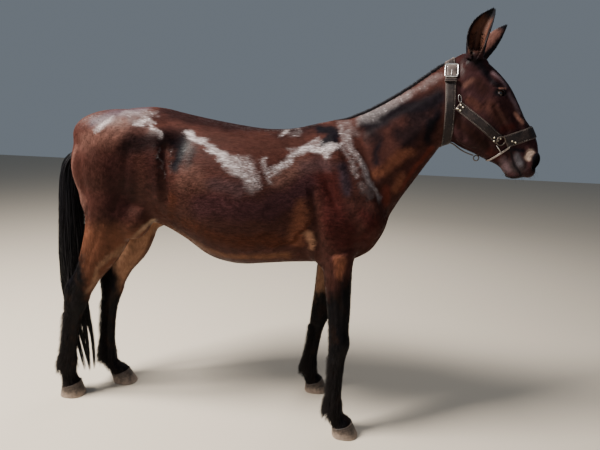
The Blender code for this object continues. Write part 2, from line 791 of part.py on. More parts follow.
def ball(name, centre, radius, around=16, along=8):
    """A round ball."""
    return ellipsoid(name, centre, (radius, radius, radius), 0.0, around, along)


def slit_cutter(side):
    """A lens-shaped plug through the lids of one eye."""
    centre, along, across, out = eye_frame(side)
    rings = []
    for depth in (0.004, EYE_RADIUS + 0.03):
        ring_points = []
        for index in range(20):
            angle = 2 * math.pi * index / 20
            reach = SLIT_UPPER if math.sin(angle) > 0 else SLIT_LOWER
            shape = along * math.cos(angle) * SLIT_HALF_LENGTH
            shape += across * power(math.sin(angle), 1.3) * reach
            ring_points.append(centre + out * depth + shape)
        rings.append(ring_points)
    return loft("slit", rings)


def nostril_cutter(side):
    """The hollow of one nostril."""
    centre = (NOSTRIL[0], NOSTRIL[1] * side, NOSTRIL[2])
    return ellipsoid("nostril", centre, NOSTRIL_RADII, NOSTRIL_TILT, 14, 8)


def mouth_cutter(side):
    """The line of the mouth on one side, from its corner to the front of the lips."""
    low_y, high_y = sorted((MOUTH_INSIDE * side, 0.080 * side))
    x, _, z = MOUTH_CORNER
    low = (x, low_y, z - MOUTH_HALF_HEIGHT)
    high = (x + MOUTH_LENGTH, high_y, z + MOUTH_HALF_HEIGHT)
    return block("mouth", low, high, MOUTH_SLOPE, MOUTH_CORNER)


def with_features(head):
    """The head with lids round its eyes, hollow nostrils and the line of the mouth."""
    for side in (RIGHT, LEFT):
        centre = eye_frame(side)[0]
        lids = ball("lids", centre, EYE_RADIUS + LID_THICKNESS)
        combine(head, lids, "UNION")
        pocket = ball("pocket", centre, EYE_RADIUS + GAP * 2)
        cutters = [pocket, slit_cutter(side), nostril_cutter(side), mouth_cutter(side)]
        for cutter in cutters:
            combine(head, cutter, "DIFFERENCE")
        for piece in [lids] + cutters:
            bpy.data.objects.remove(piece)
    return largest_surface(head)


def ear(name, joints, head):
    """A long cupped ear, from the head to its tip."""
    root, middle, tip, aim = [Vector(point) for point in joints]
    line = smooth_rows((root, middle, tip), 10)
    outer = []
    inner = []
    steps = 7
    for share, wide, span in smooth_rows(EAR_SHAPE, 2):
        spot = min(share, 1.0) * (len(line) - 1)
        index = min(int(spot), len(line) - 2)
        point = Vector(line[index]).lerp(Vector(line[index + 1]), spot - index)
        run = (Vector(line[index + 1]) - Vector(line[index])).normalized()
        out = (aim - run * aim.dot(run)).normalized()
        across = run.cross(out).normalized()
        wall = EAR_WALL + (EAR_TIP_WALL - EAR_WALL) * share
        half = math.radians(span)
        radius = wide / math.sin(half) if span < 90 else wide
        for rows, reach in ((outer, radius), (inner, max(radius - wall, 0.3 * radius))):
            row = []
            for step in range(steps):
                angle = half * (2 * step / (steps - 1) - 1)
                row.append(point - out * math.cos(angle) * reach + across * math.sin(angle) * reach)
            rows.append(row)
    rows = [list(near) + list(far[::-1]) for near, far in zip(outer, inner)]
    shell = strip(name, rows)
    plug_rings = []
    for share, wide in ((-0.10, 0.018), (0.0, 0.0215), (0.08, 0.0225), (0.14, 0.016)):
        spot = max(share, 0.0) * (len(line) - 1)
        index = int(spot)
        run = (Vector(line[index + 1]) - Vector(line[index])).normalized()
        point = Vector(line[0]) + run * share * 0.22
        across = run.cross(Vector((0, 1, 0))).normalized()
        plug_rings.append([point + across * math.cos(a) * wide + run.cross(across) * math.sin(a) * wide
                           for a in [2 * math.pi * i / 16 for i in range(16)]])
    plug = loft("plug", plug_rings)
    combine(shell, plug, "UNION")
    bpy.data.objects.remove(plug)
    return clear_of(shell, head)


def lock(name, points, outs, width, thick):
    """A flat lock of hair along its points, thinner to its tip, with its broad sides facing the outs."""
    rings = []
    last = len(points) - 1
    for index, (point, out) in enumerate(zip(points, outs)):
        run = points[min(index + 1, last)] - points[max(index - 1, 0)]
        across = run.cross(out).normalized()
        full = max(0.02, 1 - (index / last) ** 2.2)
        side = across * width / 2 * full
        rise = out.normalized() * thick / 2 * full
        rings.append([point + side, point + rise, point - side, point - rise])
    return loft(name, rings)


def fused(core, locks):
    """The core and its locks as one closed surface."""
    group = bpy.data.collections.new("locks")
    bpy.context.scene.collection.children.link(group)
    for piece in locks:
        group.objects.link(piece)
    boolean = core.modifiers.new("fuse", "BOOLEAN")
    boolean.operation = "UNION"
    boolean.operand_type = "COLLECTION"
    boolean.collection = group
    boolean.solver = "EXACT"
    applied(core)
    for piece in locks:
        bpy.data.objects.remove(piece)
    bpy.data.collections.remove(group)
    return largest_surface(core)


def tail_spot(share):
    """A point on the tail's line, the ways down it and to the front, and its reaches there."""
    rows = smooth_rows(TAIL, 6)
    spot = min(max(share, 0.0), 1.0) * (len(rows) - 1)
    index = min(int(spot), len(rows) - 2)
    x, z, wide, front, back = rows[index] + (rows[index + 1] - rows[index]) * (spot - index)
    run = Vector((rows[index + 1][0] - rows[index][0], 0, rows[index + 1][1] - rows[index][1]))
    run.normalize()
    forward = Vector((-run.z, 0, run.x))
    return Vector((x, 0, z)), run, forward, wide, front, back


def tail_lock(name, angle, start, end, swing):
    """One lock of the tail, on the side given by an angle round its line."""
    points = []
    outs = []
    for index in range(TAIL_LOCK_RINGS):
        along = index / (TAIL_LOCK_RINGS - 1)
        centre, run, forward, wide, front, back = tail_spot(start + (end - start) * along)
        ahead = math.cos(angle)
        reach = forward * ahead * (front if ahead > 0 else back)
        reach += Vector((0, math.sin(angle) * wide, 0))
        full = 0.42 + 0.50 * math.sin(math.pi * min(1.0, 0.10 + along * 0.75))
        wave = forward * swing * math.sin(2.6 * along * math.pi / 2 + angle)
        points.append(centre + reach * full + wave * along)
        outs.append(reach.normalized())
    return lock(name, points, outs, TAIL_LOCK_WIDTH, TAIL_LOCK_THICK)


def tail(torso):
    """The tail, from its dock to the tips of its locks."""
    dice = random.Random(11)
    rings = []
    steps = 8
    for index in range(steps + 1):
        share = TAIL_CORE_LENGTH * index / steps
        centre, run, forward, wide, front, back = tail_spot(share)
        size = 1.0 - (1.0 - TAIL_CORE_WIDTH) * min(1.0, 4 * share)
        ahead = centre + forward * front * size
        behind = centre - forward * back * size
        rings.append(section(ahead, behind, wide * size, 0.5, 2.0, 2.0, 10))
    locks = []
    for index in range(TAIL_LOCKS):
        share = index / (TAIL_LOCKS - 1)
        angle = index * 2.4
        start = 0.14 + 0.40 * share + dice.uniform(-0.02, 0.02)
        end = min(1.0, start + 0.46 + dice.uniform(-0.05, 0.08))
        locks.append(tail_lock(f"tail_lock_{index}", angle, start, end, dice.uniform(-0.016, 0.016)))
    whole = fused(loft("tail", rings), locks)
    return clear_of(whole, torso)


def mane(tree, neck, torso):
    """The short upright mane along the crest."""
    dice = random.Random(5)
    back = Vector((-0.45, 0, 1)).normalized()
    side = Vector((0, 1, 0))

    def crest(share):
        x = MANE_START + (MANE_END - MANE_START) * share
        return tree.ray_cast(Vector((x, 0, 3)), Vector((0, 0, -1)))[0]

    rows = []
    steps = 16
    for index in range(steps + 1):
        low = crest(index / steps) - back * MANE_ROOT_DEPTH
        top = crest(index / steps) + back * MANE_CORE_HEIGHT
        out = side * MANE_CORE_HALF_WIDTH
        rows.append([low - out, low + out, top + out * 0.4, top - out * 0.4])
    core = strip("mane", rows)
    locks = []
    for index in range(MANE_LOCKS):
        share = (index + 0.5) / MANE_LOCKS
        grade = min(1.0, 0.45 + 4 * share, 0.45 + 4 * (1 - share))
        length = MANE_HEIGHT * grade * dice.uniform(0.88, 1.15)
        lean = side * (0.16 if index % 2 else -0.16) * dice.uniform(0.4, 1.6)
        way = (back + lean + Vector((dice.uniform(-0.55, -0.20), 0, 0))).normalized()
        root = crest(share) - back * MANE_ROOT_DEPTH * 0.8
        points = [root, root.lerp(crest(share) + way * length, 0.6), crest(share) + way * length]
        locks.append(lock(f"mane_lock_{index}", points, [side] * 3, MANE_LOCK_WIDTH, MANE_LOCK_THICK))
    return clear_of(fused(core, locks), neck, torso)


def with_tuft(leg, joints, seed):
    """The lower leg with the tuft of short locks behind its fetlock."""
    dice = random.Random(seed)
    point, run = leg_point(joints, 3.0)
    tree = surface_of(leg)
    locks = []
    for index in range(TUFT_LOCKS):
        turn = math.radians(72) * (2 * index / (TUFT_LOCKS - 1) - 1)
        way = Vector((-math.cos(turn), math.sin(turn), 0))
        centre = point + Vector((0, 0, dice.uniform(-0.012, 0.008)))
        skin = centre + way * reach_on(tree, centre, way)
        length = TUFT_LENGTH * (0.55 + 0.45 * math.cos(turn)) * dice.uniform(0.85, 1.15)
        down = Vector((0, 0, -1)) * length
        points = [skin - way * TUFT_ROOT_DEPTH, skin + way * 0.004 + down * 0.35,
                  skin + way * 0.009 * math.cos(turn) + down]
        locks.append(lock(f"tuft_lock_{index}", points, [way] * 3, TUFT_WIDTH, TUFT_THICK))
    return fused(leg, locks)


def halter(neck, head):
    """The halter's straps, rings and buckle, each a piece of its own."""
    neck_tree = surface_of(neck)
    head_tree = surface_of(head)
    both_tree = surface_of(head, neck)
    pieces = [band("halter_neck_band", neck_tree, BAND_PIVOT, BAND_TILT, BAND_WIDTH)]
    pieces.append(band("halter_nose_band", head_tree, NOSE_PIVOT, NOSE_TILT, NOSE_WIDTH, NOSE_ARC))
    pieces.append(band("halter_chin_strap", head_tree, CHIN_PIVOT, CHIN_TILT, CHIN_WIDTH, CHIN_ARC, 20))
    down = Vector((-0.35, 0, -0.94))
    pieces.append(laid_strap("halter_jaw_strap", both_tree, JAW_START, JAW_END, Vector((0, 1, 0)), down,
                             JAW_WIDTH))
    run = (Vector(CHEEK_END) - Vector(CHEEK_START)).normalized()
    across = Vector((-run.z, 0, run.x))
    for side, word in ((RIGHT, "right"), (LEFT, "left")):
        out = Vector((0, side, 0))
        pieces.append(laid_strap(f"halter_cheek_strap_{word}", both_tree, CHEEK_START, CHEEK_END, across,
                                 out, CHEEK_WIDTH))
        pieces.append(ring_on(f"halter_cheek_ring_{word}", head_tree, CHEEK_RING, side, CHEEK_RING_RADIUS,
                              CHEEK_RING_RADIUS, RING_THICKNESS))
    for piece in pieces:
        if not piece.name.startswith("halter_cheek_ring"):
            clear_of(piece, head, neck)
    neck_band, nose_band, chin_strap, jaw_strap = pieces[:4]
    clear_of(chin_strap, nose_band)
    half_size = (Vector((JAW_RING_RADIUS, 0, 0)), Vector((0, 0, JAW_RING_RADIUS)))
    under = surface_of(head, jaw_strap).ray_cast(Vector((JAW_RING_X, 0, 1.0)), Vector((0, 0, 1)))[0]
    centre = under - Vector((0, 0, JAW_RING_RADIUS + RING_THICKNESS + 0.002))
    pieces.append(ring("halter_jaw_ring", centre, *half_size, RING_THICKNESS))
    pieces.append(ring_on("halter_buckle", surface_of(neck_band, neck), BUCKLE, RIGHT, BUCKLE_HALF_WIDTH,
                          BUCKLE_HALF_HEIGHT, BUCKLE_BAR, 7.0))
    return pieces


def parted():
    """The body's pieces, each closed, a thin gap apart."""
    pieces = {}
    head = head_body()
    (x, y, z), tilt = HEAD_CUT
    pieces["head"] = cut_out(head, "head", (x, -0.5, z - 1), (x + 1, 0.5, z + 1), tilt, (x, y, z))
    bpy.data.objects.remove(head)
    body = whole_body()
    coarse = cut_out(body, "coarse_head", (x, -0.5, z - 1), (x + 1, 0.5, z + 1), tilt, (x, y, z))
    bpy.data.objects.remove(coarse)
    (x, y, z), tilt = NECK_CUT
    pieces["neck"] = cut_out(body, "neck", (x, -0.5, z - 1), (x + 1, 0.5, z + 1), tilt, (x, y, z))
    for end, low_x, high_x, upper, lower in (("fore", 0.3, 0.9, FOREARM_CUT, KNEE_CUT),
                                             ("hind", -1.0, -0.1, THIGH_CUT, HOCK_CUT)):
        for side, word in ((RIGHT, "right"), (LEFT, "left")):
            low_y, high_y = sorted((0.001 * side, 0.6 * side))
            low = f"{end}_leg_lower_{word}"
            high = f"{end}_leg_upper_{word}"
            pieces[low] = cut_out(body, low, (low_x, low_y, -0.2), (high_x, high_y, lower))
            pieces[high] = cut_out(body, high, (low_x, low_y, lower + 2 * GAP), (high_x, high_y, upper))
    pieces["torso"] = body
    body.name = "torso"
    return pieces


def collect(pieces):
    """Puts the pieces in the mule's collection, with the soles on the floor and the box centred."""
    group = bpy.data.collections.new("mule")
    bpy.context.scene.collection.children.link(group)
    corners = [vert.co for piece in pieces for vert in piece.data.vertices]
    low = [min(corner[axis] for corner in corners) for axis in range(3)]
    high = [max(corner[axis] for corner in corners) for axis in range(3)]
    shift = Vector((-(low[0] + high[0]) / 2, -(low[1] + high[1]) / 2, -low[2]))
    for piece in pieces:
        piece.data.transform(Matrix.Translation(shift))
        group.objects.link(piece)
        bpy.context.scene.collection.objects.unlink(piece)
    return shift


def main():
    """Builds the mule."""
    for item in list(bpy.data.objects):
        bpy.data.objects.remove(item)
    named = parted()
    pieces = list(named.values())
    with_features(named["head"])
    for leg, joints in LEGS.items():
        end, word = leg.split("_")
        lower = trim_leg(named[f"{end}_leg_lower_{word}"], joints[4])
        with_tuft(lower, joints, len(leg) + joints[0][1])
        pieces.append(hoof(f"hoof_{leg}", joints[4], joints[5]))
    for side, word in ((RIGHT, "right"), (LEFT, "left")):
        pieces.append(ball(f"eye_{word}", eye_frame(side)[0], EYE_RADIUS))
    for name, joints in EARS.items():
        pieces.append(ear(name, joints, named["head"]))
    pieces.append(tail(named["torso"]))
    crest = surface_of(named["neck"], named["torso"])
    pieces.append(mane(crest, named["neck"], named["torso"]))
    pieces += halter(named["neck"], named["head"])
    for piece in pieces:
        finish = next(value for start, value in FINISHES if piece.name.startswith(start))
        paint(piece, *finish)
    collect(pieces)


main()
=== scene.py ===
"""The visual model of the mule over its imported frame: skin, coat, hair, hooves, eyes and halter.

Every form is made in the same design coordinates as the solids, finer, and is then moved onto the
frame. The mule faces +X and its right side is -Y.
"""
import math
import random

import bmesh
import bpy
import numpy as np
from mathutils import Matrix, Vector
from mathutils.bvhtree import BVHTree


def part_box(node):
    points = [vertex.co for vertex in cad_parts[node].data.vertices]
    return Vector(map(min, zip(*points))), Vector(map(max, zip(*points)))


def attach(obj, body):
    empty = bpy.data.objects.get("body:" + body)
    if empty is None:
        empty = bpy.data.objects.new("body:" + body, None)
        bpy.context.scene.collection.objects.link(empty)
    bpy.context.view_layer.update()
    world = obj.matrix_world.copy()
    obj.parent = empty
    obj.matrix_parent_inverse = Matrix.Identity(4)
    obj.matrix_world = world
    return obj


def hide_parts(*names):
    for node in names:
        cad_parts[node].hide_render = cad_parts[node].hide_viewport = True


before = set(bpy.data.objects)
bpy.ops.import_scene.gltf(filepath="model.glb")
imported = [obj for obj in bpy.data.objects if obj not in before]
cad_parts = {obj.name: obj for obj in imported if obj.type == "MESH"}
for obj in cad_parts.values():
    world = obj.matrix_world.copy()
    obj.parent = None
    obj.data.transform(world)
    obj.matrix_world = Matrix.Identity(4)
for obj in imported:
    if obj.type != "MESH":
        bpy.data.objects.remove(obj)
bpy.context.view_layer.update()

GAP = 0.0003
RIGHT = -1
LEFT = 1
BODY_VOXEL = 0.008
HEAD_VOXEL = 0.0032
FINE_VOXEL = 0.0021
BODY_SKIN_TRIANGLES = 96000
HEAD_SKIN_TRIANGLES = 92000
COAT_DEPTH = 0.0012
HEAD_COAT_DEPTH = 0.0007

TRUNK = (
    (-0.640, 1.290, 1.120, 0.060, 0.40, 2.0, 2.0),
    (-0.596, 1.384, 1.040, 0.130, 0.38, 2.0, 2.0),
    (-0.515, 1.455, 0.970, 0.186, 0.36, 1.9, 2.0),
    (-0.400, 1.498, 0.940, 0.222, 0.36, 1.8, 2.1),
    (-0.250, 1.513, 0.952, 0.234, 0.38, 1.8, 2.1),
    (-0.110, 1.486, 0.890, 0.246, 0.42, 1.9, 2.1),
    (0.020, 1.463, 0.808, 0.264, 0.48, 2.0, 2.1),
    (0.150, 1.444, 0.782, 0.272, 0.50, 2.0, 2.1),
    (0.280, 1.432, 0.792, 0.262, 0.52, 1.9, 2.1),
    (0.400, 1.442, 0.804, 0.232, 0.54, 1.7, 2.1),
    (0.520, 1.474, 0.812, 0.196, 0.56, 1.5, 2.2),
    (0.640, 1.492, 0.820, 0.182, 0.60, 1.5, 2.3),
    (0.740, 1.420, 0.856, 0.168, 0.62, 1.7, 2.2),
    (0.815, 1.240, 0.935, 0.120, 0.55, 2.0, 2.0),
    (0.850, 1.130, 1.010, 0.060, 0.50, 2.0, 2.0),
)
NECK = (
    (0.540, 1.466, 0.740, 0.900, 0.130, 0.60),
    (0.650, 1.500, 0.838, 1.020, 0.122, 0.60),
    (0.750, 1.546, 0.905, 1.140, 0.104, 0.60),
    (0.859, 1.612, 0.975, 1.252, 0.086, 0.60),
    (0.950, 1.674, 1.025, 1.332, 0.076, 0.58),
    (1.040, 1.738, 1.064, 1.388, 0.070, 0.54),
    (1.118, 1.783, 1.100, 1.404, 0.072, 0.50),
    (1.180, 1.772, 1.130, 1.400, 0.070, 0.50),
)
SKULL = (
    (1.085, 1.735, 1.085, 1.440, 0.050, 0.40, 2.0, 2.0),
    (1.120, 1.776, 1.104, 1.410, 0.066, 0.36, 2.0, 2.2),
    (1.172, 1.778, 1.135, 1.390, 0.078, 0.32, 2.1, 2.3),
    (1.220, 1.742, 1.170, 1.374, 0.087, 0.28, 2.3, 2.4),
    (1.272, 1.696, 1.206, 1.360, 0.092, 0.26, 2.5, 2.3),
    (1.320, 1.646, 1.240, 1.344, 0.080, 0.28, 2.5, 2.2),
    (1.364, 1.582, 1.276, 1.328, 0.064, 0.30, 2.4, 2.2),
    (1.402, 1.520, 1.306, 1.316, 0.053, 0.34, 2.3, 2.2),
    (1.440, 1.474, 1.330, 1.300, 0.049, 0.40, 2.3, 2.2),
    (1.468, 1.418, 1.346, 1.282, 0.051, 0.44, 2.4, 2.3),
    (1.478, 1.366, 1.366, 1.266, 0.054, 0.40, 2.5, 2.4),
    (1.475, 1.325, 1.398, 1.258, 0.050, 0.42, 2.4, 2.3),
    (1.462, 1.292, 1.430, 1.264, 0.036, 0.50, 2.2, 2.2),
)
FORE_LEG = (
    (0.00, 0.100, 0.100, 0.066),
    (0.50, 0.086, 0.088, 0.064),
    (1.00, 0.068, 0.078, 0.060),
    (1.30, 0.060, 0.066, 0.054),
    (1.60, 0.053, 0.055, 0.046),
    (1.84, 0.046, 0.048, 0.040),
    (1.95, 0.050, 0.047, 0.043),
    (2.03, 0.051, 0.045, 0.044),
    (2.14, 0.042, 0.043, 0.039),
    (2.28, 0.034, 0.038, 0.028),
    (2.60, 0.032, 0.037, 0.025),
    (2.84, 0.033, 0.040, 0.027),
    (2.95, 0.038, 0.046, 0.033),
    (3.02, 0.039, 0.048, 0.034),
    (3.25, 0.034, 0.040, 0.030),
    (3.60, 0.034, 0.036, 0.031),
    (4.00, 0.046, 0.046, 0.043),
    (4.50, 0.054, 0.048, 0.047),
)
HIND_LEG = (
    (0.00, 0.150, 0.150, 0.080),
    (0.50, 0.120, 0.174, 0.092),
    (1.00, 0.094, 0.148, 0.086),
    (1.35, 0.082, 0.110, 0.072),
    (1.62, 0.058, 0.074, 0.055),
    (1.76, 0.054, 0.070, 0.046),
    (1.87, 0.052, 0.080, 0.042),
    (1.95, 0.056, 0.078, 0.042),
    (2.04, 0.054, 0.064, 0.041),
    (2.16, 0.046, 0.052, 0.037),
    (2.30, 0.040, 0.045, 0.031),
    (2.60, 0.037, 0.042, 0.027),
    (2.84, 0.038, 0.044, 0.029),
    (2.95, 0.042, 0.049, 0.035),
    (3.02, 0.043, 0.051, 0.036),
    (3.25, 0.035, 0.041, 0.031),
    (3.60, 0.034, 0.036, 0.031),
    (4.00, 0.045, 0.044, 0.042),
    (4.50, 0.052, 0.046, 0.046),
)
LEGS = {
    "fore_right": ((0.640, -0.120, 1.050), (0.636, -0.142, 0.850), (0.657, -0.164, 0.470),
                   (0.656, -0.172, 0.150), (0.694, -0.175, 0.058), (0.708, -0.175, 0.000)),
    "fore_left": ((0.620, 0.120, 1.050), (0.600, 0.142, 0.850), (0.548, 0.162, 0.470),
                  (0.510, 0.178, 0.158), (0.532, 0.184, 0.058), (0.542, 0.186, 0.000)),
    "hind_right": ((-0.440, -0.120, 1.220), (-0.430, -0.125, 0.960), (-0.660, -0.105, 0.555),
                   (-0.744, -0.082, 0.200), (-0.745, -0.074, 0.066), (-0.743, -0.070, 0.000)),
    "hind_left": ((-0.470, 0.120, 1.200), (-0.432, 0.125, 0.890), (-0.582, 0.104, 0.550),
                  (-0.622, 0.096, 0.170), (-0.558, 0.094, 0.060), (-0.532, 0.094, 0.000)),
}
MUSCLES = {
    "shoulder_blade": ((0.615, 0.084, 1.210), (0.105, 0.072, 0.200), -24.0),
    "shoulder_point": ((0.745, 0.110, 1.050), (0.090, 0.078, 0.110), -10.0),
    "upper_arm": ((0.610, 0.118, 1.030), (0.150, 0.086, 0.140), 30.0),
    "elbow": ((0.565, 0.128, 0.900), (0.060, 0.052, 0.080), 0.0),
    "breast": ((0.765, 0.062, 0.965), (0.050, 0.060, 0.100), 22.0),
    "croup": ((-0.340, 0.105, 1.355), (0.280, 0.130, 0.140), 4.0),
    "hip_bone": ((-0.175, 0.180, 1.360), (0.075, 0.052, 0.062), 0.0),
    "haunch": ((-0.445, 0.115, 1.230), (0.185, 0.112, 0.220), 0.0),
    "buttock": ((-0.555, 0.080, 1.180), (0.076, 0.074, 0.180), -6.0),
    "stifle": ((-0.318, 0.150, 0.990), (0.080, 0.060, 0.100), 24.0),
}
FACE = {
    "jowl": ((1.172, 0.046, 1.485), (0.088, 0.032, 0.105), -24.0),
    "brow": ((1.238, 0.062, 1.652), (0.050, 0.030, 0.026), 48.0),
    "cheek_bone": ((1.290, 0.060, 1.556), (0.095, 0.015, 0.016), 56.0),
    "nostril_wing": ((1.446, 0.038, 1.340), (0.034, 0.022, 0.044), 14.0),
    "upper_lip": ((1.444, 0.018, 1.294), (0.030, 0.032, 0.032), 10.0),
    "lower_lip": ((1.394, 0.016, 1.276), (0.036, 0.028, 0.020), -12.0),
    "ear_root": ((1.164, 0.048, 1.722), (0.054, 0.026, 0.046), 8.0),
}
SOLE_FRONT = 0.066
SOLE_BACK = 0.058
SOLE_HALF_WIDTH = 0.052
HOOF_TOP_FRONT = 0.050
HOOF_TOP_BACK = 0.046
HOOF_TOP_HALF_WIDTH = 0.045
CORONET_SLOPE = -17.0
SOLE_EDGE = 0.004
EYE = (1.259, 0.069, 1.614)
EYE_RADIUS = 0.0205
LID_THICKNESS = 0.0040
EYE_AIM = (0.30, 0.94, 0.06)
SLIT_HALF_LENGTH = 0.0215
SLIT_UPPER = 0.0100
SLIT_LOWER = 0.0090
SLIT_TILT = 28.0
NOSTRIL = (1.460, 0.049, 1.332)
NOSTRIL_RADII = (0.014, 0.022, 0.032)
NOSTRIL_TILT = 12.0
MOUTH_CORNER = (1.353, 0, 1.370)
MOUTH_LENGTH = 0.130
MOUTH_HALF_HEIGHT = 0.0018
MOUTH_SLOPE = 59.0
MOUTH_INSIDE = 0.034
EARS = {
    "ear_right": ((1.150, -0.056, 1.752), (1.152, -0.078, 1.860), (1.202, -0.074, 1.946),
                  (-0.26, -0.96, 0.03)),
    "ear_left": ((1.164, 0.056, 1.748), (1.242, 0.078, 1.826), (1.308, 0.090, 1.915),
                 (0.75, 0.50, -0.45)),
}
EAR_SHAPE = (
    (0.00, 0.036, 168.0),
    (0.12, 0.037, 146.0),
    (0.28, 0.040, 112.0),
    (0.48, 0.043, 94.0),
    (0.66, 0.039, 84.0),
    (0.82, 0.028, 78.0),
    (0.93, 0.016, 74.0),
    (1.00, 0.006, 70.0),
)
LEATHER = 0.0042
OFF_SKIN = 0.0026
BAND_WIDTH = 0.042
CHEEK_WIDTH = 0.040
NOSE_WIDTH = 0.054
JAW_WIDTH = 0.022
CHIN_WIDTH = 0.009
BAND_PIVOT = (1.068, 0, 1.573)
BAND_TILT = -3.0
NOSE_PIVOT = (1.372, 0, 1.436)
NOSE_TILT = 69.0
NOSE_ARC = 134.0
CHIN_PIVOT = (1.316, 0, 1.372)
CHIN_TILT = -131.0
CHIN_ARC = 121.0
CHEEK_START = (1.112, 0, 1.552)
CHEEK_END = (1.292, 0, 1.421)
JAW_START = (1.104, 0, 1.428)
JAW_END = (1.214, 0, 1.384)
CHEEK_RING = (1.296, 0, 1.421)
CHEEK_RING_RADIUS = 0.019
RING_THICKNESS = 0.0026
JAW_RING_X = 1.220
JAW_RING_RADIUS = 0.0115
BUCKLE = (1.066, 0, 1.704)
BUCKLE_HALF_WIDTH = 0.026
BUCKLE_HALF_HEIGHT = 0.029
BUCKLE_BAR = 0.0032
TAIL = (
    (-0.600, 1.292, 0.022, 0.022, 0.020),
    (-0.660, 1.284, 0.027, 0.026, 0.022),
    (-0.712, 1.240, 0.034, 0.032, 0.028),
    (-0.738, 1.165, 0.040, 0.060, 0.030),
    (-0.746, 1.040, 0.046, 0.082, 0.034),
    (-0.752, 0.880, 0.050, 0.094, 0.044),
    (-0.752, 0.720, 0.052, 0.092, 0.056),
    (-0.748, 0.560, 0.050, 0.082, 0.062),
    (-0.728, 0.420, 0.042, 0.070, 0.058),
    (-0.704, 0.290, 0.034, 0.056, 0.044),
    (-0.684, 0.105, 0.022, 0.030, 0.026),
)
MANE_START = 0.640
MANE_END = 1.030
FLESH = ("torso", "neck", "head", "ear_right", "ear_left") + tuple(
    f"{end}_leg_{part}_{word}" for end in ("fore", "hind") for part in ("upper", "lower")
    for word in ("right", "left"))

# Folds of the skin on both sides: how far out, how wide, and the line along it. A line of x and z is
# seen from the side, a line of x, y and z lies in space
BODY_FOLDS = (
    (-0.0060, 0.022, ((0.695, 1.430), (0.745, 1.290), (0.800, 1.160))),
    (0.0040, 0.016, ((0.580, 1.400), (0.640, 1.240), (0.700, 1.110))),
    (-0.0045, 0.020, ((0.520, 1.380), (0.560, 1.240), (0.600, 1.140))),
    (-0.0090, 0.015, ((0.505, 1.180), (0.530, 1.050), (0.541, 0.940), (0.548, 0.870))),
    (0.0060, 0.030, ((0.575, 1.080), (0.590, 0.960))),
    (-0.0045, 0.014, ((0.570, 1.210), (0.630, 1.090), (0.705, 1.020))),
    (-0.0060, 0.012, ((0.600, 0.895), (0.680, 0.925), (0.750, 0.945))),
    (0.0030, 0.0060, ((0.200, 0.892), (0.310, 0.905), (0.400, 0.945), (0.470, 0.990), (0.520, 1.030))),
    (-0.0030, 0.0080, ((0.498, 1.000), (0.505, 0.940), (0.515, 0.885))),
    (-0.0026, 0.0070, ((0.470, 0.960), (0.480, 0.900), (0.500, 0.850))),
    (-0.0110, 0.015, ((-0.140, 1.335), (-0.138, 1.230), (-0.138, 1.110))),
    (0.0050, 0.018, ((-0.172, 1.330), (-0.170, 1.200), (-0.180, 1.060))),
    (-0.0120, 0.045, ((-0.072, 1.350), (-0.090, 1.275))),
    (0.0060, 0.050, ((-0.020, 1.215), (0.010, 1.190))),
    (-0.0060, 0.018, ((-0.548, 1.330), (-0.536, 1.190), (-0.524, 1.060), (-0.548, 0.930))),
    (-0.0040, 0.016, ((-0.300, 1.330), (-0.330, 1.180), (-0.390, 1.040))),
    (0.0040, 0.022, ((-0.250, 1.080), (-0.290, 0.980))),
    (-0.0065, 0.018, ((0.800, 1.175), (0.895, 1.275), (0.985, 1.370), (1.050, 1.440))),
    (0.0040, 0.026, ((0.790, 1.290), (0.900, 1.410), (1.010, 1.500))),
    (-0.0035, 0.018, ((0.720, 1.440), (0.850, 1.525), (1.000, 1.620))),
    (-0.0140, 0.018, ((0.838, 0.0, 1.120), (0.832, 0.0, 1.000), (0.790, 0.0, 0.900))),
    (-0.0100, 0.016, ((-0.640, 0.0, 1.230), (-0.640, 0.0, 1.050))),
    (-0.0030, 0.012, ((-0.540, 0.0, 1.450), (-0.350, 0.0, 1.510), (-0.150, 0.0, 1.500))),
)
# Folds of the head in the same way
HEAD_FOLDS = (
    (0.0028, 0.0075, ((1.264, 1.562), (1.300, 1.515), (1.338, 1.468))),
    (-0.0040, 0.0100, ((1.244, 1.560), (1.284, 1.508), (1.322, 1.458))),
    (-0.0060, 0.0150, ((1.212, 1.690), (1.222, 1.668))),
    (0.0030, 0.0080, ((1.226, 1.650), (1.250, 1.648), (1.276, 1.628))),
    (-0.0035, 0.0110, ((1.320, 1.560), (1.356, 1.500), (1.392, 1.440))),
    (0.0030, 0.0110, ((1.340, 1.575), (1.372, 1.520), (1.404, 1.465))),
    (-0.0050, 0.0120, ((1.105, 1.640), (1.118, 1.560), (1.120, 1.480), (1.140, 1.420))),
    (0.0035, 0.0140, ((1.150, 1.600), (1.190, 1.570))),
    (-0.0035, 0.0080, ((1.232, 1.440), (1.256, 1.400), (1.262, 1.372))),
    (-0.0030, 0.0090, ((1.300, 1.430), (1.330, 1.390), (1.348, 1.352))),
    (0.0030, 0.0090, ((1.330, 1.420), (1.376, 1.372), (1.402, 1.330))),
    (-0.0030, 0.0080, ((1.404, 1.392), (1.420, 1.350), (1.424, 1.312))),
    (0.0024, 0.0075, ((1.420, 1.396), (1.440, 1.378), (1.462, 1.368))),
)
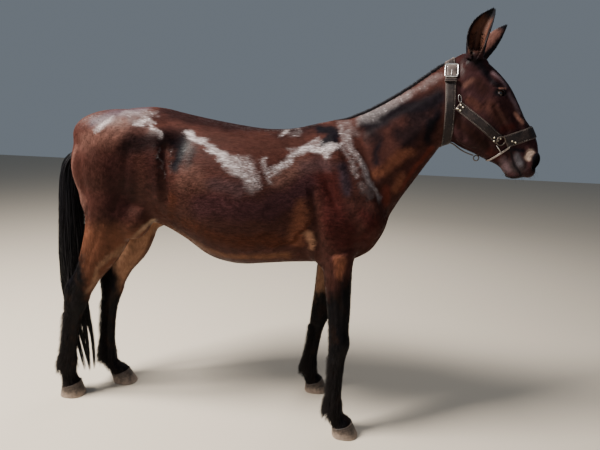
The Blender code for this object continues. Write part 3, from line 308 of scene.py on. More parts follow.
# Fine wrinkles of the head: round the eye, over the nostril and at the corner of the mouth
HEAD_WRINKLES = (
    (-0.0016, 0.0026, ((1.236, 1.640), (1.250, 1.642), (1.266, 1.634), (1.280, 1.618))),
    (-0.0011, 0.0026, ((1.228, 1.650), (1.246, 1.655), (1.266, 1.648), (1.284, 1.630))),
    (-0.0013, 0.0026, ((1.238, 1.600), (1.254, 1.590), (1.270, 1.588))),
    (-0.0010, 0.0026, ((1.234, 1.590), (1.252, 1.578), (1.272, 1.576))),
    (-0.0012, 0.0028, ((1.348, 1.362), (1.356, 1.352), (1.358, 1.338))),
    (-0.0010, 0.0028, ((1.340, 1.360), (1.346, 1.348), (1.346, 1.334))),
    (-0.0012, 0.0030, ((1.428, 1.368), (1.446, 1.372), (1.466, 1.364))),
    (-0.0010, 0.0030, ((1.424, 1.380), (1.444, 1.386), (1.468, 1.376))),
)
# Folds of the legs: how far out, how wide, and the line along it, as places counted in joints with the
# reach ahead of the leg's middle
FORE_FOLDS = (
    (-0.0034, 0.0080, ((1.05, 0.012), (1.40, 0.010), (1.74, 0.004))),
    (-0.0026, 0.0070, ((1.10, -0.030), (1.45, -0.026), (1.80, -0.014))),
    (0.0030, 0.0100, ((1.90, 0.020), (2.04, 0.022))),
    (-0.0030, 0.0070, ((1.88, -0.016), (2.08, -0.016))),
    (-0.0030, 0.0050, ((2.26, -0.004), (2.55, -0.005), (2.84, -0.008))),
    (-0.0024, 0.0046, ((2.30, -0.021), (2.60, -0.021), (2.84, -0.022))),
    (0.0020, 0.0080, ((2.96, 0.004), (3.04, 0.004))),
    (-0.0020, 0.0060, ((3.16, -0.006), (3.50, -0.002))),
)
HIND_FOLDS = (
    (-0.0026, 0.0130, ((1.12, -0.030), (1.40, -0.020), (1.66, -0.012))),
    (-0.0034, 0.0100, ((1.50, -0.044), (1.70, -0.040), (1.86, -0.038))),
    (0.0030, 0.0100, ((1.92, 0.016), (2.06, 0.012))),
    (-0.0036, 0.0080, ((1.88, -0.026), (2.06, -0.022))),
    (-0.0030, 0.0050, ((2.22, -0.006), (2.55, -0.007), (2.84, -0.010))),
    (-0.0024, 0.0046, ((2.26, -0.025), (2.60, -0.024), (2.84, -0.025))),
    (0.0020, 0.0080, ((2.96, 0.004), (3.04, 0.004))),
    (-0.0020, 0.0060, ((3.16, -0.006), (3.50, -0.002))),
)

def smooth_rows(rows, per_span):
    """Rows of numbers with more rows between them, along a smooth curve through all."""
    table = np.array(rows, float)
    padded = np.vstack([2 * table[0] - table[1], table, 2 * table[-1] - table[-2]])
    result = []
    for start in range(len(table) - 1):
        before, first, second, after = padded[start:start + 4]
        for step in range(per_span):
            t = step / per_span
            slope = (second - before) * t
            bend = (2 * before - 5 * first + 4 * second - after) * t ** 2
            turn = (3 * first - before - 3 * second + after) * t ** 3
            result.append(first + 0.5 * (slope + bend + turn))
    result.append(table[-1])
    return result


def power(value, exponent):
    """A power that keeps the sign of its base."""
    return math.copysign(abs(value) ** exponent, value)


def section(top, bottom, wide, widest=0.5, full_top=2.0, full_bottom=2.0, count=72):
    """A closed ring in the plane of two points and the Y axis, egg-shaped between them."""
    top = Vector(top)
    bottom = Vector(bottom)
    middle = top.lerp(bottom, widest)
    ring = []
    for index in range(count):
        angle = 2 * math.pi * index / count
        up = math.cos(angle)
        full = full_top if up > 0 else full_bottom
        reach = abs(up) ** (2 / full)
        side = power(math.sin(angle), 2 / full) * wide
        end = top if up > 0 else bottom
        point = middle.lerp(end, reach)
        ring.append(point + Vector((0, side, 0)))
    return ring


def mesh_object(name, mesh):
    """Puts a bmesh in a new object of the scene."""
    data = bpy.data.meshes.new(name)
    mesh.to_mesh(data)
    mesh.free()
    made = bpy.data.objects.new(name, data)
    bpy.context.scene.collection.objects.link(made)
    return made


def loft(name, rings):
    """A closed form through rings of equally many points, with a fan on each end."""
    mesh = bmesh.new()
    loops = [[mesh.verts.new(point) for point in ring] for ring in rings]
    count = len(loops[0])
    for low, high in zip(loops, loops[1:]):
        for index in range(count):
            after = (index + 1) % count
            mesh.faces.new((low[index], low[after], high[after], high[index]))
    for loop in (loops[0], loops[-1]):
        centre = mesh.verts.new(sum((vert.co for vert in loop), Vector()) / count)
        for index in range(count):
            mesh.faces.new((loop[index], loop[(index + 1) % count], centre))
    bmesh.ops.triangulate(mesh, faces=mesh.faces)
    bmesh.ops.recalc_face_normals(mesh, faces=mesh.faces)
    return mesh_object(name, mesh)


def ellipsoid(name, centre, radii, tilt=0.0, around=48, along=28):
    """A stretched ball, tilted about the Y axis by some degrees."""
    mesh = bmesh.new()
    bmesh.ops.create_uvsphere(mesh, u_segments=around, v_segments=along, radius=1.0)
    shape = Matrix.Translation(centre) @ Matrix.Rotation(math.radians(tilt), 4, "Y")
    mesh.transform(shape @ Matrix.Diagonal((*radii, 1.0)))
    return mesh_object(name, mesh)


def trunk():
    """The barrel, from the buttocks to the breast."""
    rings = []
    for x, back, belly, wide, widest, full_back, full_belly in smooth_rows(TRUNK, 8):
        rings.append(section((x, 0, back), (x, 0, belly), wide, widest, full_back, full_belly))
    return loft("trunk", rings)


def neck_form():
    """The neck, from inside the shoulders to inside the head."""
    rings = []
    for crest_x, crest_z, under_x, under_z, wide, widest in smooth_rows(NECK, 8):
        rings.append(section((crest_x, 0, crest_z), (under_x, 0, under_z), wide, widest, 1.5, 1.9))
    return loft("neck_form", rings)


def skull_form():
    """The head, from the poll to the lips."""
    rings = []
    for face_x, face_z, jaw_x, jaw_z, wide, widest, full_face, full_jaw in smooth_rows(SKULL, 8):
        ring = section((face_x, 0, face_z), (jaw_x, 0, jaw_z), wide, widest, full_face, full_jaw)
        rings.append(ring)
    return loft("skull_form", rings)


def leg_point(joints, place):
    """The point on a leg's line at a place counted in joints, and the way that the line runs there."""
    per_span = 20
    line = [Vector(point) for point in smooth_rows(joints, per_span)]
    spot = min(max(place * per_span, 0), len(line) - 1)
    index = min(int(spot), len(line) - 2)
    point = line[index].lerp(line[index + 1], spot - index)
    return point, (line[index + 1] - line[index]).normalized()


def leg_form(name, joints, sizes):
    """A leg from inside the trunk down into its hoof."""
    rings = []
    for place, front, back, wide in smooth_rows(sizes, 8):
        point, run = leg_point(joints, place)
        forward = Vector((-run.z, 0, run.x)).normalized()
        rings.append(section(point + forward * front, point - forward * back, wide, 0.5, 2.2, 2.2, 48))
    return loft(name, rings)


def both_sides(pieces):
    """The muscles or bones of a table, on the right and on the left."""
    made = []
    for name, (centre, radii, tilt) in pieces.items():
        for side in (RIGHT, LEFT):
            place = (centre[0], centre[1] * side, centre[2])
            made.append(ellipsoid(f"{name}_{side}", place, radii, tilt))
    return made


def joined(name, pieces):
    """One object that holds the meshes of several, which are removed."""
    mesh = bmesh.new()
    for piece in pieces:
        mesh.from_mesh(piece.data)
        bpy.data.objects.remove(piece)
    return mesh_object(name, mesh)


def applied(piece):
    """The piece with its modifiers worked into its mesh."""
    graph = bpy.context.evaluated_depsgraph_get()
    data = bpy.data.meshes.new_from_object(piece.evaluated_get(graph))
    piece.modifiers.clear()
    piece.data = data
    return piece


def remeshed(piece, grain):
    """The piece as one closed surface of even grain."""
    remesh = piece.modifiers.new("remesh", "REMESH")
    remesh.mode = "VOXEL"
    remesh.voxel_size = grain
    return applied(piece)


def softened(piece, passes, factor, share=None):
    """The piece with its creases smoothed, everywhere or by a share that depends on the place."""
    smooth = piece.modifiers.new("smooth", "SMOOTH")
    smooth.iterations = passes
    smooth.factor = factor
    if share:
        group = piece.vertex_groups.new(name="share")
        for vert in piece.data.vertices:
            group.add([vert.index], share(vert.co), "REPLACE")
        smooth.vertex_group = group.name
    return applied(piece)


def trunk_share(place):
    """1 on the trunk and the top of the legs, and less down the legs and at the head."""
    down = min(1.0, max(0.0, (place.z - 0.62) / 0.25))
    back = min(1.0, max(0.0, (1.05 - place.x) / 0.20))
    return down * back


def thinned(piece, triangles):
    """The piece with no more than about this many triangles."""
    mesh = bmesh.new()
    mesh.from_mesh(piece.data)
    bmesh.ops.triangulate(mesh, faces=mesh.faces)
    mesh.to_mesh(piece.data)
    mesh.free()
    decimate = piece.modifiers.new("decimate", "DECIMATE")
    decimate.ratio = min(1.0, triangles / len(piece.data.polygons))
    return applied(piece)


def largest_surface(piece):
    """The piece with only its largest closed surface."""
    mesh = bmesh.new()
    mesh.from_mesh(piece.data)
    seen = set()
    groups = []
    for start in mesh.faces:
        if start in seen:
            continue
        group = [start]
        seen.add(start)
        for face in group:
            for edge in face.edges:
                for other in edge.link_faces:
                    if other not in seen:
                        seen.add(other)
                        group.append(other)
        groups.append(group)
    groups.sort(key=lambda group: sum(face.calc_area() for face in group))
    scraps = [face for group in groups[:-1] for face in group]
    bmesh.ops.delete(mesh, geom=scraps, context="FACES")
    mesh.to_mesh(piece.data)
    mesh.free()
    return piece


def block(name, low, high, tilt=0.0, pivot=(0, 0, 0)):
    """A box from its lowest to its highest corner, turned about the Y axis through the pivot."""
    mesh = bmesh.new()
    bmesh.ops.create_cube(mesh, size=1.0)
    size = [high[axis] - low[axis] for axis in range(3)]
    centre = [(high[axis] + low[axis]) / 2 for axis in range(3)]
    mesh.transform(Matrix.Translation(centre) @ Matrix.Diagonal((*size, 1.0)))
    turn = Matrix.Rotation(math.radians(tilt), 4, "Y")
    mesh.transform(Matrix.Translation(pivot) @ turn @ Matrix.Translation(-Vector(pivot)))
    return mesh_object(name, mesh)


def strip(name, rows, closed=False):
    """A bar through rows of points round its section, closed to a loop or capped at its ends."""
    mesh = bmesh.new()
    grid = [[mesh.verts.new(point) for point in row] for row in rows]
    count = len(grid[0])
    pairs = list(zip(grid, grid[1:]))
    if closed:
        pairs.append((grid[-1], grid[0]))
    for low, high in pairs:
        for index in range(count):
            after = (index + 1) % count
            mesh.faces.new((low[index], low[after], high[after], high[index]))
    if not closed:
        for row in (grid[0], grid[-1]):
            for index in range(1, count // 2):
                corners = (row[index - 1], row[index], row[count - 1 - index], row[count - index])
                mesh.faces.new(corners)
    bmesh.ops.triangulate(mesh, faces=mesh.faces)
    bmesh.ops.recalc_face_normals(mesh, faces=mesh.faces)
    return mesh_object(name, mesh)


def surface_of(*pieces):
    """A search tree over the surfaces of pieces."""
    mesh = bmesh.new()
    for piece in pieces:
        mesh.from_mesh(piece.data)
    tree = BVHTree.FromBMesh(mesh)
    mesh.free()
    return tree


def reach_on(tree, centre, way, far=0.5):
    """How far the surface lies from a centre inside it, looked at from outside."""
    hit = tree.ray_cast(centre + way * far, -way)[0]
    return (hit - centre).dot(way)


def taut(reach, turn=0.0, closed=False, passes=6):
    """Reaches along a strap, with each hollow bridged by its neighbours; the rays turn by an angle."""
    result = list(reach)
    last = len(reach) - 1
    for _ in range(passes):
        before = list(result)
        for index in range(len(reach)):
            if closed or 0 < index < last:
                one = before[index - 1]
                other = before[(index + 1) % len(reach)]
                fan = 2 * one * other * math.cos(turn) / (one + other)
                level = fan if turn else (one + other) / 2
                result[index] = max(level, reach[index])
    return result


def eye_frame(side):
    """The middle of an eye and the ways along its slit, across it and out of the head."""
    centre = Vector((EYE[0], EYE[1] * side, EYE[2]))
    out = Vector((EYE_AIM[0], EYE_AIM[1] * side, EYE_AIM[2])).normalized()
    tilt = math.radians(SLIT_TILT)
    along = Vector((math.cos(tilt), 0, -math.sin(tilt)))
    along = (along - out * along.dot(out)).normalized()
    across = out.cross(along).normalized()
    if across.z < 0:
        across = -across
    return centre, along, across, out


def ball(name, centre, radius, around=48, along=32):
    """A round ball."""
    return ellipsoid(name, centre, (radius, radius, radius), 0.0, around, along)


def tail_spot(share):
    """A point on the tail's line, the ways down it and to the front, and its reaches there."""
    rows = smooth_rows(TAIL, 6)
    spot = min(max(share, 0.0), 1.0) * (len(rows) - 1)
    index = min(int(spot), len(rows) - 2)
    x, z, wide, front, back = rows[index] + (rows[index + 1] - rows[index]) * (spot - index)
    run = Vector((rows[index + 1][0] - rows[index][0], 0, rows[index + 1][1] - rows[index][1]))
    run.normalize()
    forward = Vector((-run.z, 0, run.x))
    return Vector((x, 0, z)), run, forward, wide, front, back


def combine(target, cutter, operation, solver="MANIFOLD"):
    """The target after a Boolean with the cutter, which is kept."""
    boolean = target.modifiers.new("boolean", "BOOLEAN")
    boolean.operation = operation
    boolean.solver = solver
    boolean.object = cutter
    return applied(target)


def drop(*pieces):
    """Removes objects that are only tools."""
    for piece in pieces:
        bpy.data.objects.remove(piece)


def places(piece):
    """The points of a piece as rows of numbers."""
    found = np.empty(len(piece.data.vertices) * 3)
    piece.data.vertices.foreach_get("co", found)
    return found.reshape(-1, 3)


def ways_out(piece):
    """The normals at the points of a piece."""
    found = np.empty(len(piece.data.vertices) * 3)
    piece.data.vertices.foreach_get("normal", found)
    return found.reshape(-1, 3)


def move_to(piece, points):
    """Sets the points of a piece."""
    piece.data.vertices.foreach_set("co", points.ravel())
    piece.data.update()


def ramp(values, low, high):
    """0 below low, 1 above high and smooth between; low may be the greater."""
    share = np.clip((values - low) / (high - low), 0.0, 1.0)
    return share * share * (3 - 2 * share)


def far_from(points, line):
    """How far points lie from a line through a few corners, in space or as seen from the side."""
    corners = [np.array(corner, float) for corner in line]
    if len(corners[0]) == 2:
        points = points[:, [0, 2]]
    best = np.full(len(points), np.inf)
    for start, end in zip(corners, corners[1:]):
        run = end - start
        share = np.clip((points - start) @ run / (run @ run), 0.0, 1.0)
        best = np.minimum(best, np.linalg.norm(points - start - share[:, None] * run, axis=1))
    return best


def near(points, line, radius, edge=0.5):
    """1 on a line, 0 beyond a radius, and smooth in the outer share of it."""
    return ramp(far_from(points, line), radius, radius * (1 - edge))


def shaped(piece, folds, where=None):
    """The piece with folds pressed in or raised along lines, on both sides."""
    points = places(piece)
    out = ways_out(piece)
    mirrored = np.column_stack((points[:, 0], np.abs(points[:, 1]), points[:, 2]))
    sideways = ramp(np.abs(out[:, 1]), 0.15, 0.55)
    total = np.zeros(len(points))
    for amount, radius, line in folds:
        weight = np.exp(-(far_from(mirrored, line) / radius) ** 2)
        if len(line[0]) == 2:
            weight *= sideways
        total += amount * weight
    if where is not None:
        total *= where(points)
    move_to(piece, points + out * total[:, None])
    return piece


def fold_legs(piece):
    """Tendons, bones and grooves of the legs, on their outer and inner faces."""
    points = places(piece)
    out = ways_out(piece)
    total = np.zeros(len(points))
    for name, joints in LEGS.items():
        folds = FORE_FOLDS if name.startswith("fore") else HIND_FOLDS
        side = RIGHT if name.endswith("right") else LEFT
        mine = points[:, 1] * side > 0.01
        for amount, radius, rows in folds:
            line = []
            for place, ahead in smooth_rows(rows, 3):
                point, run = leg_point(joints, place)
                forward = Vector((-run.z, 0, run.x)).normalized()
                spot = point + forward * ahead
                line.append((spot.x, spot.z))
            weight = np.exp(-(far_from(points, line) / radius) ** 2) * ramp(np.abs(out[:, 1]), 0.1, 0.6)
            total += amount * weight * mine
    move_to(piece, points + out * total[:, None])
    return piece


def inset(piece, depth):
    """The piece with its surface moved in."""
    move_to(piece, places(piece) - ways_out(piece) * depth)
    return piece


def band_side(name, low, high):
    """A block whose faces lie across the neck, from low to high ahead of the neck band's middle."""
    x, y, z = BAND_PIVOT
    return block(name, (x + low, -0.6, z - 2.0), (x + high, 0.6, z + 1.0), BAND_TILT, BAND_PIVOT)


def trim_foot(body, coronet):
    """Takes one foot off the body along its coronet."""
    x, y, z = coronet
    cutter = block("foot", (x - 0.10, y - 0.075, z - 0.2), (x + 0.13, y + 0.075, z), CORONET_SLOPE, coronet)
    combine(body, cutter, "DIFFERENCE")
    drop(cutter)


def body_skin():
    """The skin of the body up to the neck band."""
    pieces = [trunk(), neck_form(), skull_form()]
    for name, joints in LEGS.items():
        sizes = FORE_LEG if name.startswith("fore") else HIND_LEG
        pieces.append(leg_form(name, joints, sizes))
    pieces += both_sides(MUSCLES)
    body = remeshed(joined("body", pieces), BODY_VOXEL)
    body = softened(softened(body, 9, 0.5), 70, 0.5, trunk_share)
    shaped(body, BODY_FOLDS)
    fold_legs(body)
    inset(body, COAT_DEPTH)
    rear = band_side("rear", -3.0, 0.004)
    combine(body, rear, "INTERSECT")
    drop(rear)
    for joints in LEGS.values():
        trim_foot(body, joints[4])
    return thinned(body, BODY_SKIN_TRIANGLES)


def features_share(place):
    """How freely the head may be smoothed: most at the roots of the ears, least at eyes and nostrils."""
    best = 0.25
    for joints in EARS.values():
        root = Vector(joints[0])
        best = max(best, 1.0 - max(0.0, (place - root).length - 0.030) / 0.020)
    return min(1.0, best)


def head_skin():
    """The skin of the head with ears, lids, nostrils and mouth, from the neck band on."""
    pieces = [skull_form(), neck_form()] + both_sides(FACE)
    head = remeshed(joined("head", pieces), HEAD_VOXEL)
    fore = band_side("fore", -0.030, 2.0)
    combine(head, fore, "INTERSECT")
    drop(fore)
    head = softened(head, 20, 0.5)
    shaped(head, HEAD_FOLDS)
    inset(head, HEAD_COAT_DEPTH)
    for name, joints in EARS.items():
        shell = ear(name, joints)
        combine(head, shell, "UNION")
        drop(shell)
    for side in (RIGHT, LEFT):
        centre = eye_frame(side)[0]
        lids = ball("lids", centre, EYE_RADIUS + LID_THICKNESS, 48, 32)
        combine(head, lids, "UNION")
        pocket = ball("pocket", centre, EYE_RADIUS, 48, 32)
        tools = [pocket, slit_cutter(side), nostril_cutter(side), mouth_cutter(side)]
        for tool in tools:
            combine(head, tool, "DIFFERENCE")
        drop(lids, *tools)
    head = remeshed(head, FINE_VOXEL)
    head = softened(head, 16, 0.5, features_share)
    shaped(head, HEAD_WRINKLES)
    for side in (RIGHT, LEFT):
        pocket = ball("pocket", eye_frame(side)[0], EYE_RADIUS + GAP, 64, 40)
        combine(head, pocket, "DIFFERENCE")
        drop(pocket)
    fore = band_side("fore", -0.004, 2.0)
    combine(head, fore, "INTERSECT")
    drop(fore)
    return thinned(head, HEAD_SKIN_TRIANGLES)


def triangulated(piece):
    """The piece with triangles only."""
    mesh = bmesh.new()
    mesh.from_mesh(piece.data)
    bmesh.ops.triangulate(mesh, faces=mesh.faces)
    mesh.to_mesh(piece.data)
    mesh.free()
    return piece


def skin_piece():
    """The whole skin as one closed surface."""
    skin = body_skin()
    head = head_skin()
    combine(skin, head, "UNION")
    drop(head)
    largest_surface(skin)
    triangulated(skin)
    skin.name = "skin"
    for face in skin.data.polygons:
        face.use_smooth = True
    return skin


def slit_cutter(side):
    """A lens-shaped plug through the lids of one eye."""
    centre, along, across, out = eye_frame(side)
    rings = []
    for depth in (0.004, EYE_RADIUS + 0.03):
        ring_points = []
        for index in range(48):
            angle = 2 * math.pi * index / 48
            reach = SLIT_UPPER if math.sin(angle) > 0 else SLIT_LOWER
            shape = along * math.cos(angle) * SLIT_HALF_LENGTH
            shape += across * power(math.sin(angle), 1.3) * reach
            ring_points.append(centre + out * depth + shape)
        rings.append(ring_points)
    return loft("slit", rings)


def nostril_cutter(side):
    """The hollow of one nostril."""
    centre = (NOSTRIL[0], NOSTRIL[1] * side, NOSTRIL[2])
    return ellipsoid("nostril", centre, NOSTRIL_RADII, NOSTRIL_TILT, 40, 24)


def mouth_cutter(side):
    """The line of the mouth on one side, from its corner to the front of the lips."""
    low_y, high_y = sorted((MOUTH_INSIDE * side, 0.080 * side))
    x, _, z = MOUTH_CORNER
    low = (x, low_y, z - MOUTH_HALF_HEIGHT)
    high = (x + MOUTH_LENGTH, high_y, z + MOUTH_HALF_HEIGHT)
    return block("mouth", low, high, MOUTH_SLOPE, MOUTH_CORNER)


EAR_SKIN_WALL = 0.0062
EAR_SKIN_TIP_WALL = 0.0046


def ear_line(joints):
    """The line through the middle of an ear, from its root to its tip."""
    return [Vector(point) for point in smooth_rows(joints[:3], 20)]


def ear_spot(joints, share):
    """A point on an ear's line, the way along it, across it and out of its cup."""
    line = ear_line(joints)
    spot = min(max(share, 0.0), 1.0) * (len(line) - 1)
    index = min(int(spot), len(line) - 2)
    run = (line[index + 1] - line[index]).normalized()
    aim = Vector(joints[3])
    out = (aim - run * aim.dot(run)).normalized()
    return line[index].lerp(line[index + 1], spot - index), run, run.cross(out).normalized(), out


def ear(name, joints):
    """A long cupped ear with the plug that roots it in the head."""
    outer = []
    inner = []
    steps = 25
    for share, wide, span in smooth_rows(EAR_SHAPE, 6):
        point, run, across, out = ear_spot(joints, share)
        wall = EAR_SKIN_WALL + (EAR_SKIN_TIP_WALL - EAR_SKIN_WALL) * share
        half = math.radians(span)
        radius = wide / math.sin(half) if span < 90 else wide
        for rows, reach in ((outer, radius), (inner, max(radius - wall, 0.3 * radius))):
            row = []
            for step in range(steps):
                angle = half * (2 * step / (steps - 1) - 1)
                row.append(point - out * math.cos(angle) * reach + across * math.sin(angle) * reach)
            rows.append(row)
    shell = strip(name, [list(near) + list(far[::-1]) for near, far in zip(outer, inner)])
    line = ear_line(joints)
    run = (line[1] - line[0]).normalized()
    rings = []
    for share, wide in ((-0.14, 0.020), (0.0, 0.0240), (0.08, 0.0240), (0.14, 0.017)):
        centre = line[0] + run * share * 0.22
        across = run.cross(Vector((0, 1, 0))).normalized()
        up = run.cross(across)
        turns = [2 * math.pi * index / 40 for index in range(40)]
        rings.append([centre + across * math.cos(a) * wide + up * math.sin(a) * wide for a in turns])
    plug = loft("plug", rings)
    combine(shell, plug, "UNION", "EXACT")
    drop(plug)
    return shell


# The tints of the coat, from black to the pale hair inside the thighs
INK = (0.0030, 0.0032, 0.0055)
NIGHT = (0.0050, 0.0038, 0.0052)
SEAL = (0.0085, 0.0037, 0.0042)
UMBER = (0.016, 0.0055, 0.0040)
LIVER = (0.021, 0.0065, 0.0060)
SLATE = (0.022, 0.015, 0.021)
DUSK = (0.034, 0.025, 0.025)
BROWN = (0.036, 0.014, 0.011)
PLUM = (0.041, 0.015, 0.017)
BLOOD = (0.042, 0.0090, 0.0075)
BAY = (0.045, 0.016, 0.0125)
RED_BAY = (0.055, 0.015, 0.0070)
CHESTNUT = (0.055, 0.021, 0.016)
DULL = (0.052, 0.027, 0.028)
MAUVE = (0.060, 0.043, 0.054)
GREY = (0.073, 0.067, 0.075)
RUST = (0.086, 0.039, 0.030)
FOX = (0.100, 0.022, 0.0135)
TAN = (0.120, 0.057, 0.045)
ROSE = (0.120, 0.076, 0.084)
AMBER = (0.120, 0.050, 0.026)
COPPER = (0.170, 0.060, 0.033)
SAND = (0.243, 0.178, 0.145)
PEACH = (0.260, 0.125, 0.095)
FAWN = (0.350, 0.180, 0.110)
CREAM = (0.400, 0.280, 0.185)

# Colours of the coat by place, partly its own markings and partly painted light and shade: tint, strength,
# radius, share of the radius that is soft, and the line, with x and z seen from the side; each row paints
# over those before it
BODY_PATCHES = (
    # Darker top of the back: the coat's own darker back, deepened with painted shade
    (SEAL, 0.85, 0.051, 0.9, ((-0.196, 1.488), (-0.037, 1.462), (0.194, 1.431), (0.379, 1.425),
        (0.504, 1.457))),
    (BROWN, 0.8, 0.046, 0.9, ((0.018, 1.402), (0.176, 1.375), (0.350, 1.360), (0.442, 1.384))),
    # Painted highlight: a bluish sheen on the croup
    (MAUVE, 0.75, 0.046, 0.9, ((-0.451, 1.440), (-0.361, 1.474), (-0.291, 1.497))),
    # Painted light on the top of the rump
    (TAN, 0.8, 0.08, 0.9, ((-0.504, 1.343), (-0.428, 1.372), (-0.344, 1.397))),
    # Painted light along the rear edge of the buttocks
    (TAN, 0.8, 0.032, 0.9, ((-0.577, 1.312), (-0.599, 1.235), (-0.595, 1.142), (-0.558, 1.063))),
    (BROWN, 0.7, 0.064, 0.9, ((-0.473, 1.266), (-0.478, 1.155))),
    (LIVER, 0.9, 0.120, 0.8, ((-0.352, 1.250), (-0.348, 1.138), (-0.372, 1.045))),
    # Painted shade on the loin
    (SEAL, 0.9, 0.062, 0.8, ((-0.299, 1.331), (-0.201, 1.348), (-0.127, 1.376), (-0.070, 1.369))),
    (LIVER, 0.85, 0.060, 0.9, ((-0.182, 1.281), (-0.186, 1.158))),
    (CHESTNUT, 0.7, 0.051, 0.9, ((-0.301, 1.039), (-0.236, 1.034), (-0.162, 1.046))),
    (UMBER, 0.8, 0.074, 0.9, ((-0.449, 0.977), (-0.384, 0.930), (-0.441, 0.848))),
    # Painted highlight along the front edge of the stifle and gaskin, down to the hock
    (CREAM, 0.9, 0.02, 0.9, ((-0.232, 0.997), (-0.273, 0.942), (-0.450, 0.806), (-0.536, 0.699),
        (-0.629, 0.565))),
    # Painted shade in the hollow of the flank
    (INK, 0.95, 0.038, 0.8, ((-0.080, 1.356), (-0.072, 1.303), (-0.086, 1.260))),
    # Painted shade in the groove in front of the hip
    (LIVER, 0.85, 0.018, 0.9, ((-0.144, 1.333), (-0.132, 1.219), (-0.134, 1.130))),
    (SEAL, 0.8, 0.037, 0.9, ((-0.025, 1.338), (-0.020, 1.268))),
    (RUST, 0.8, 0.064, 0.9, ((-0.043, 1.195), (0.000, 1.235), (0.043, 1.179))),
    (RED_BAY, 0.8, 0.041, 0.9, ((-0.106, 1.119), (-0.115, 1.037))),
    (DULL, 0.8, 0.064, 0.9, ((0.100, 1.186), (0.186, 1.174))),
    (TAN, 0.8, 0.055, 0.9, ((0.353, 1.220), (0.412, 1.254), (0.469, 1.284))),
    (PLUM, 0.9, 0.078, 0.8, ((0.028, 1.091), (0.184, 1.089), (0.323, 1.102), (0.432, 1.155),
        (0.491, 1.214))),
    (RED_BAY, 0.85, 0.055, 0.9, ((-0.053, 1.002), (0.087, 0.956), (0.243, 0.943), (0.394, 0.956))),
    # Painted warm light reflected up onto the underside of the belly
    (AMBER, 0.85, 0.032, 0.9, ((-0.143, 0.954), (0.016, 0.876), (0.185, 0.853), (0.411, 0.866))),
    (COPPER, 0.8, 0.046, 0.9, ((0.455, 1.112), (0.470, 1.041), (0.441, 0.956))),
    (FAWN, 0.9, 0.028, 0.8, ((0.497, 0.995), (0.507, 0.921))),
    (RED_BAY, 0.8, 0.012, 0.8, ((0.500, 1.042), (0.458, 0.995), (0.441, 0.956), (0.380, 0.930),
        (0.320, 0.925))),
    (UMBER, 0.7, 0.010, 0.8, ((0.523, 0.996), (0.516, 0.942))),
    (BLOOD, 0.9, 0.097, 0.8, ((0.568, 1.225), (0.590, 1.141), (0.614, 1.036), (0.661, 0.961))),
    (SLATE, 0.85, 0.037, 0.9, ((0.624, 1.286), (0.645, 1.228), (0.661, 1.178))),
    (DULL, 0.75, 0.041, 0.9, ((0.465, 1.276), (0.519, 1.299), (0.572, 1.293))),
    (BLOOD, 0.85, 0.060, 0.9, ((0.723, 1.082), (0.768, 1.054), (0.749, 0.966))),
    (INK, 0.92, 0.06, 0.8, ((0.727, 1.478), (0.799, 1.511), (0.870, 1.534), (0.944, 1.553),
        (1.016, 1.593))),
    (NIGHT, 0.8, 0.05, 0.9, ((0.733, 1.435), (0.766, 1.393))),
    (NIGHT, 0.8, 0.06, 0.9, ((0.857, 1.440), (0.894, 1.403), (0.929, 1.451))),
    (INK, 0.85, 0.028, 0.9, ((0.763, 1.367), (0.779, 1.317))),
    (INK, 0.9, 0.041, 0.9, ((1.020, 1.530), (0.991, 1.479), (0.989, 1.411))),
    (NIGHT, 0.8, 0.05, 0.9, ((0.930, 1.500), (0.980, 1.500), (1.005, 1.470))),
    (COPPER, 0.85, 0.037, 0.9, ((0.778, 1.257), (0.816, 1.284), (0.869, 1.329), (0.910, 1.361))),
    (COPPER, 0.8, 0.037, 0.9, ((0.882, 1.241), (0.864, 1.196))),
    (FOX, 0.85, 0.028, 0.9, ((0.819, 1.187), (0.833, 1.128))),
    (FOX, 0.8, 0.023, 0.9, ((1.009, 1.372), (0.950, 1.291), (0.897, 1.199))),
    (INK, 0.95, 0.032, 0.6, ((0.533, 1.440), (0.565, 1.441), (0.580, 1.420), (0.570, 1.385),
        (0.554, 1.368))),
    # Painted light on the top of the forearm
    (COPPER, 0.9, 0.037, 0.8, ((0.636, 0.870), (0.630, 0.819))),
    (BROWN, 0.8, 0.028, 0.9, ((0.569, 0.859), (0.570, 0.645))),
)
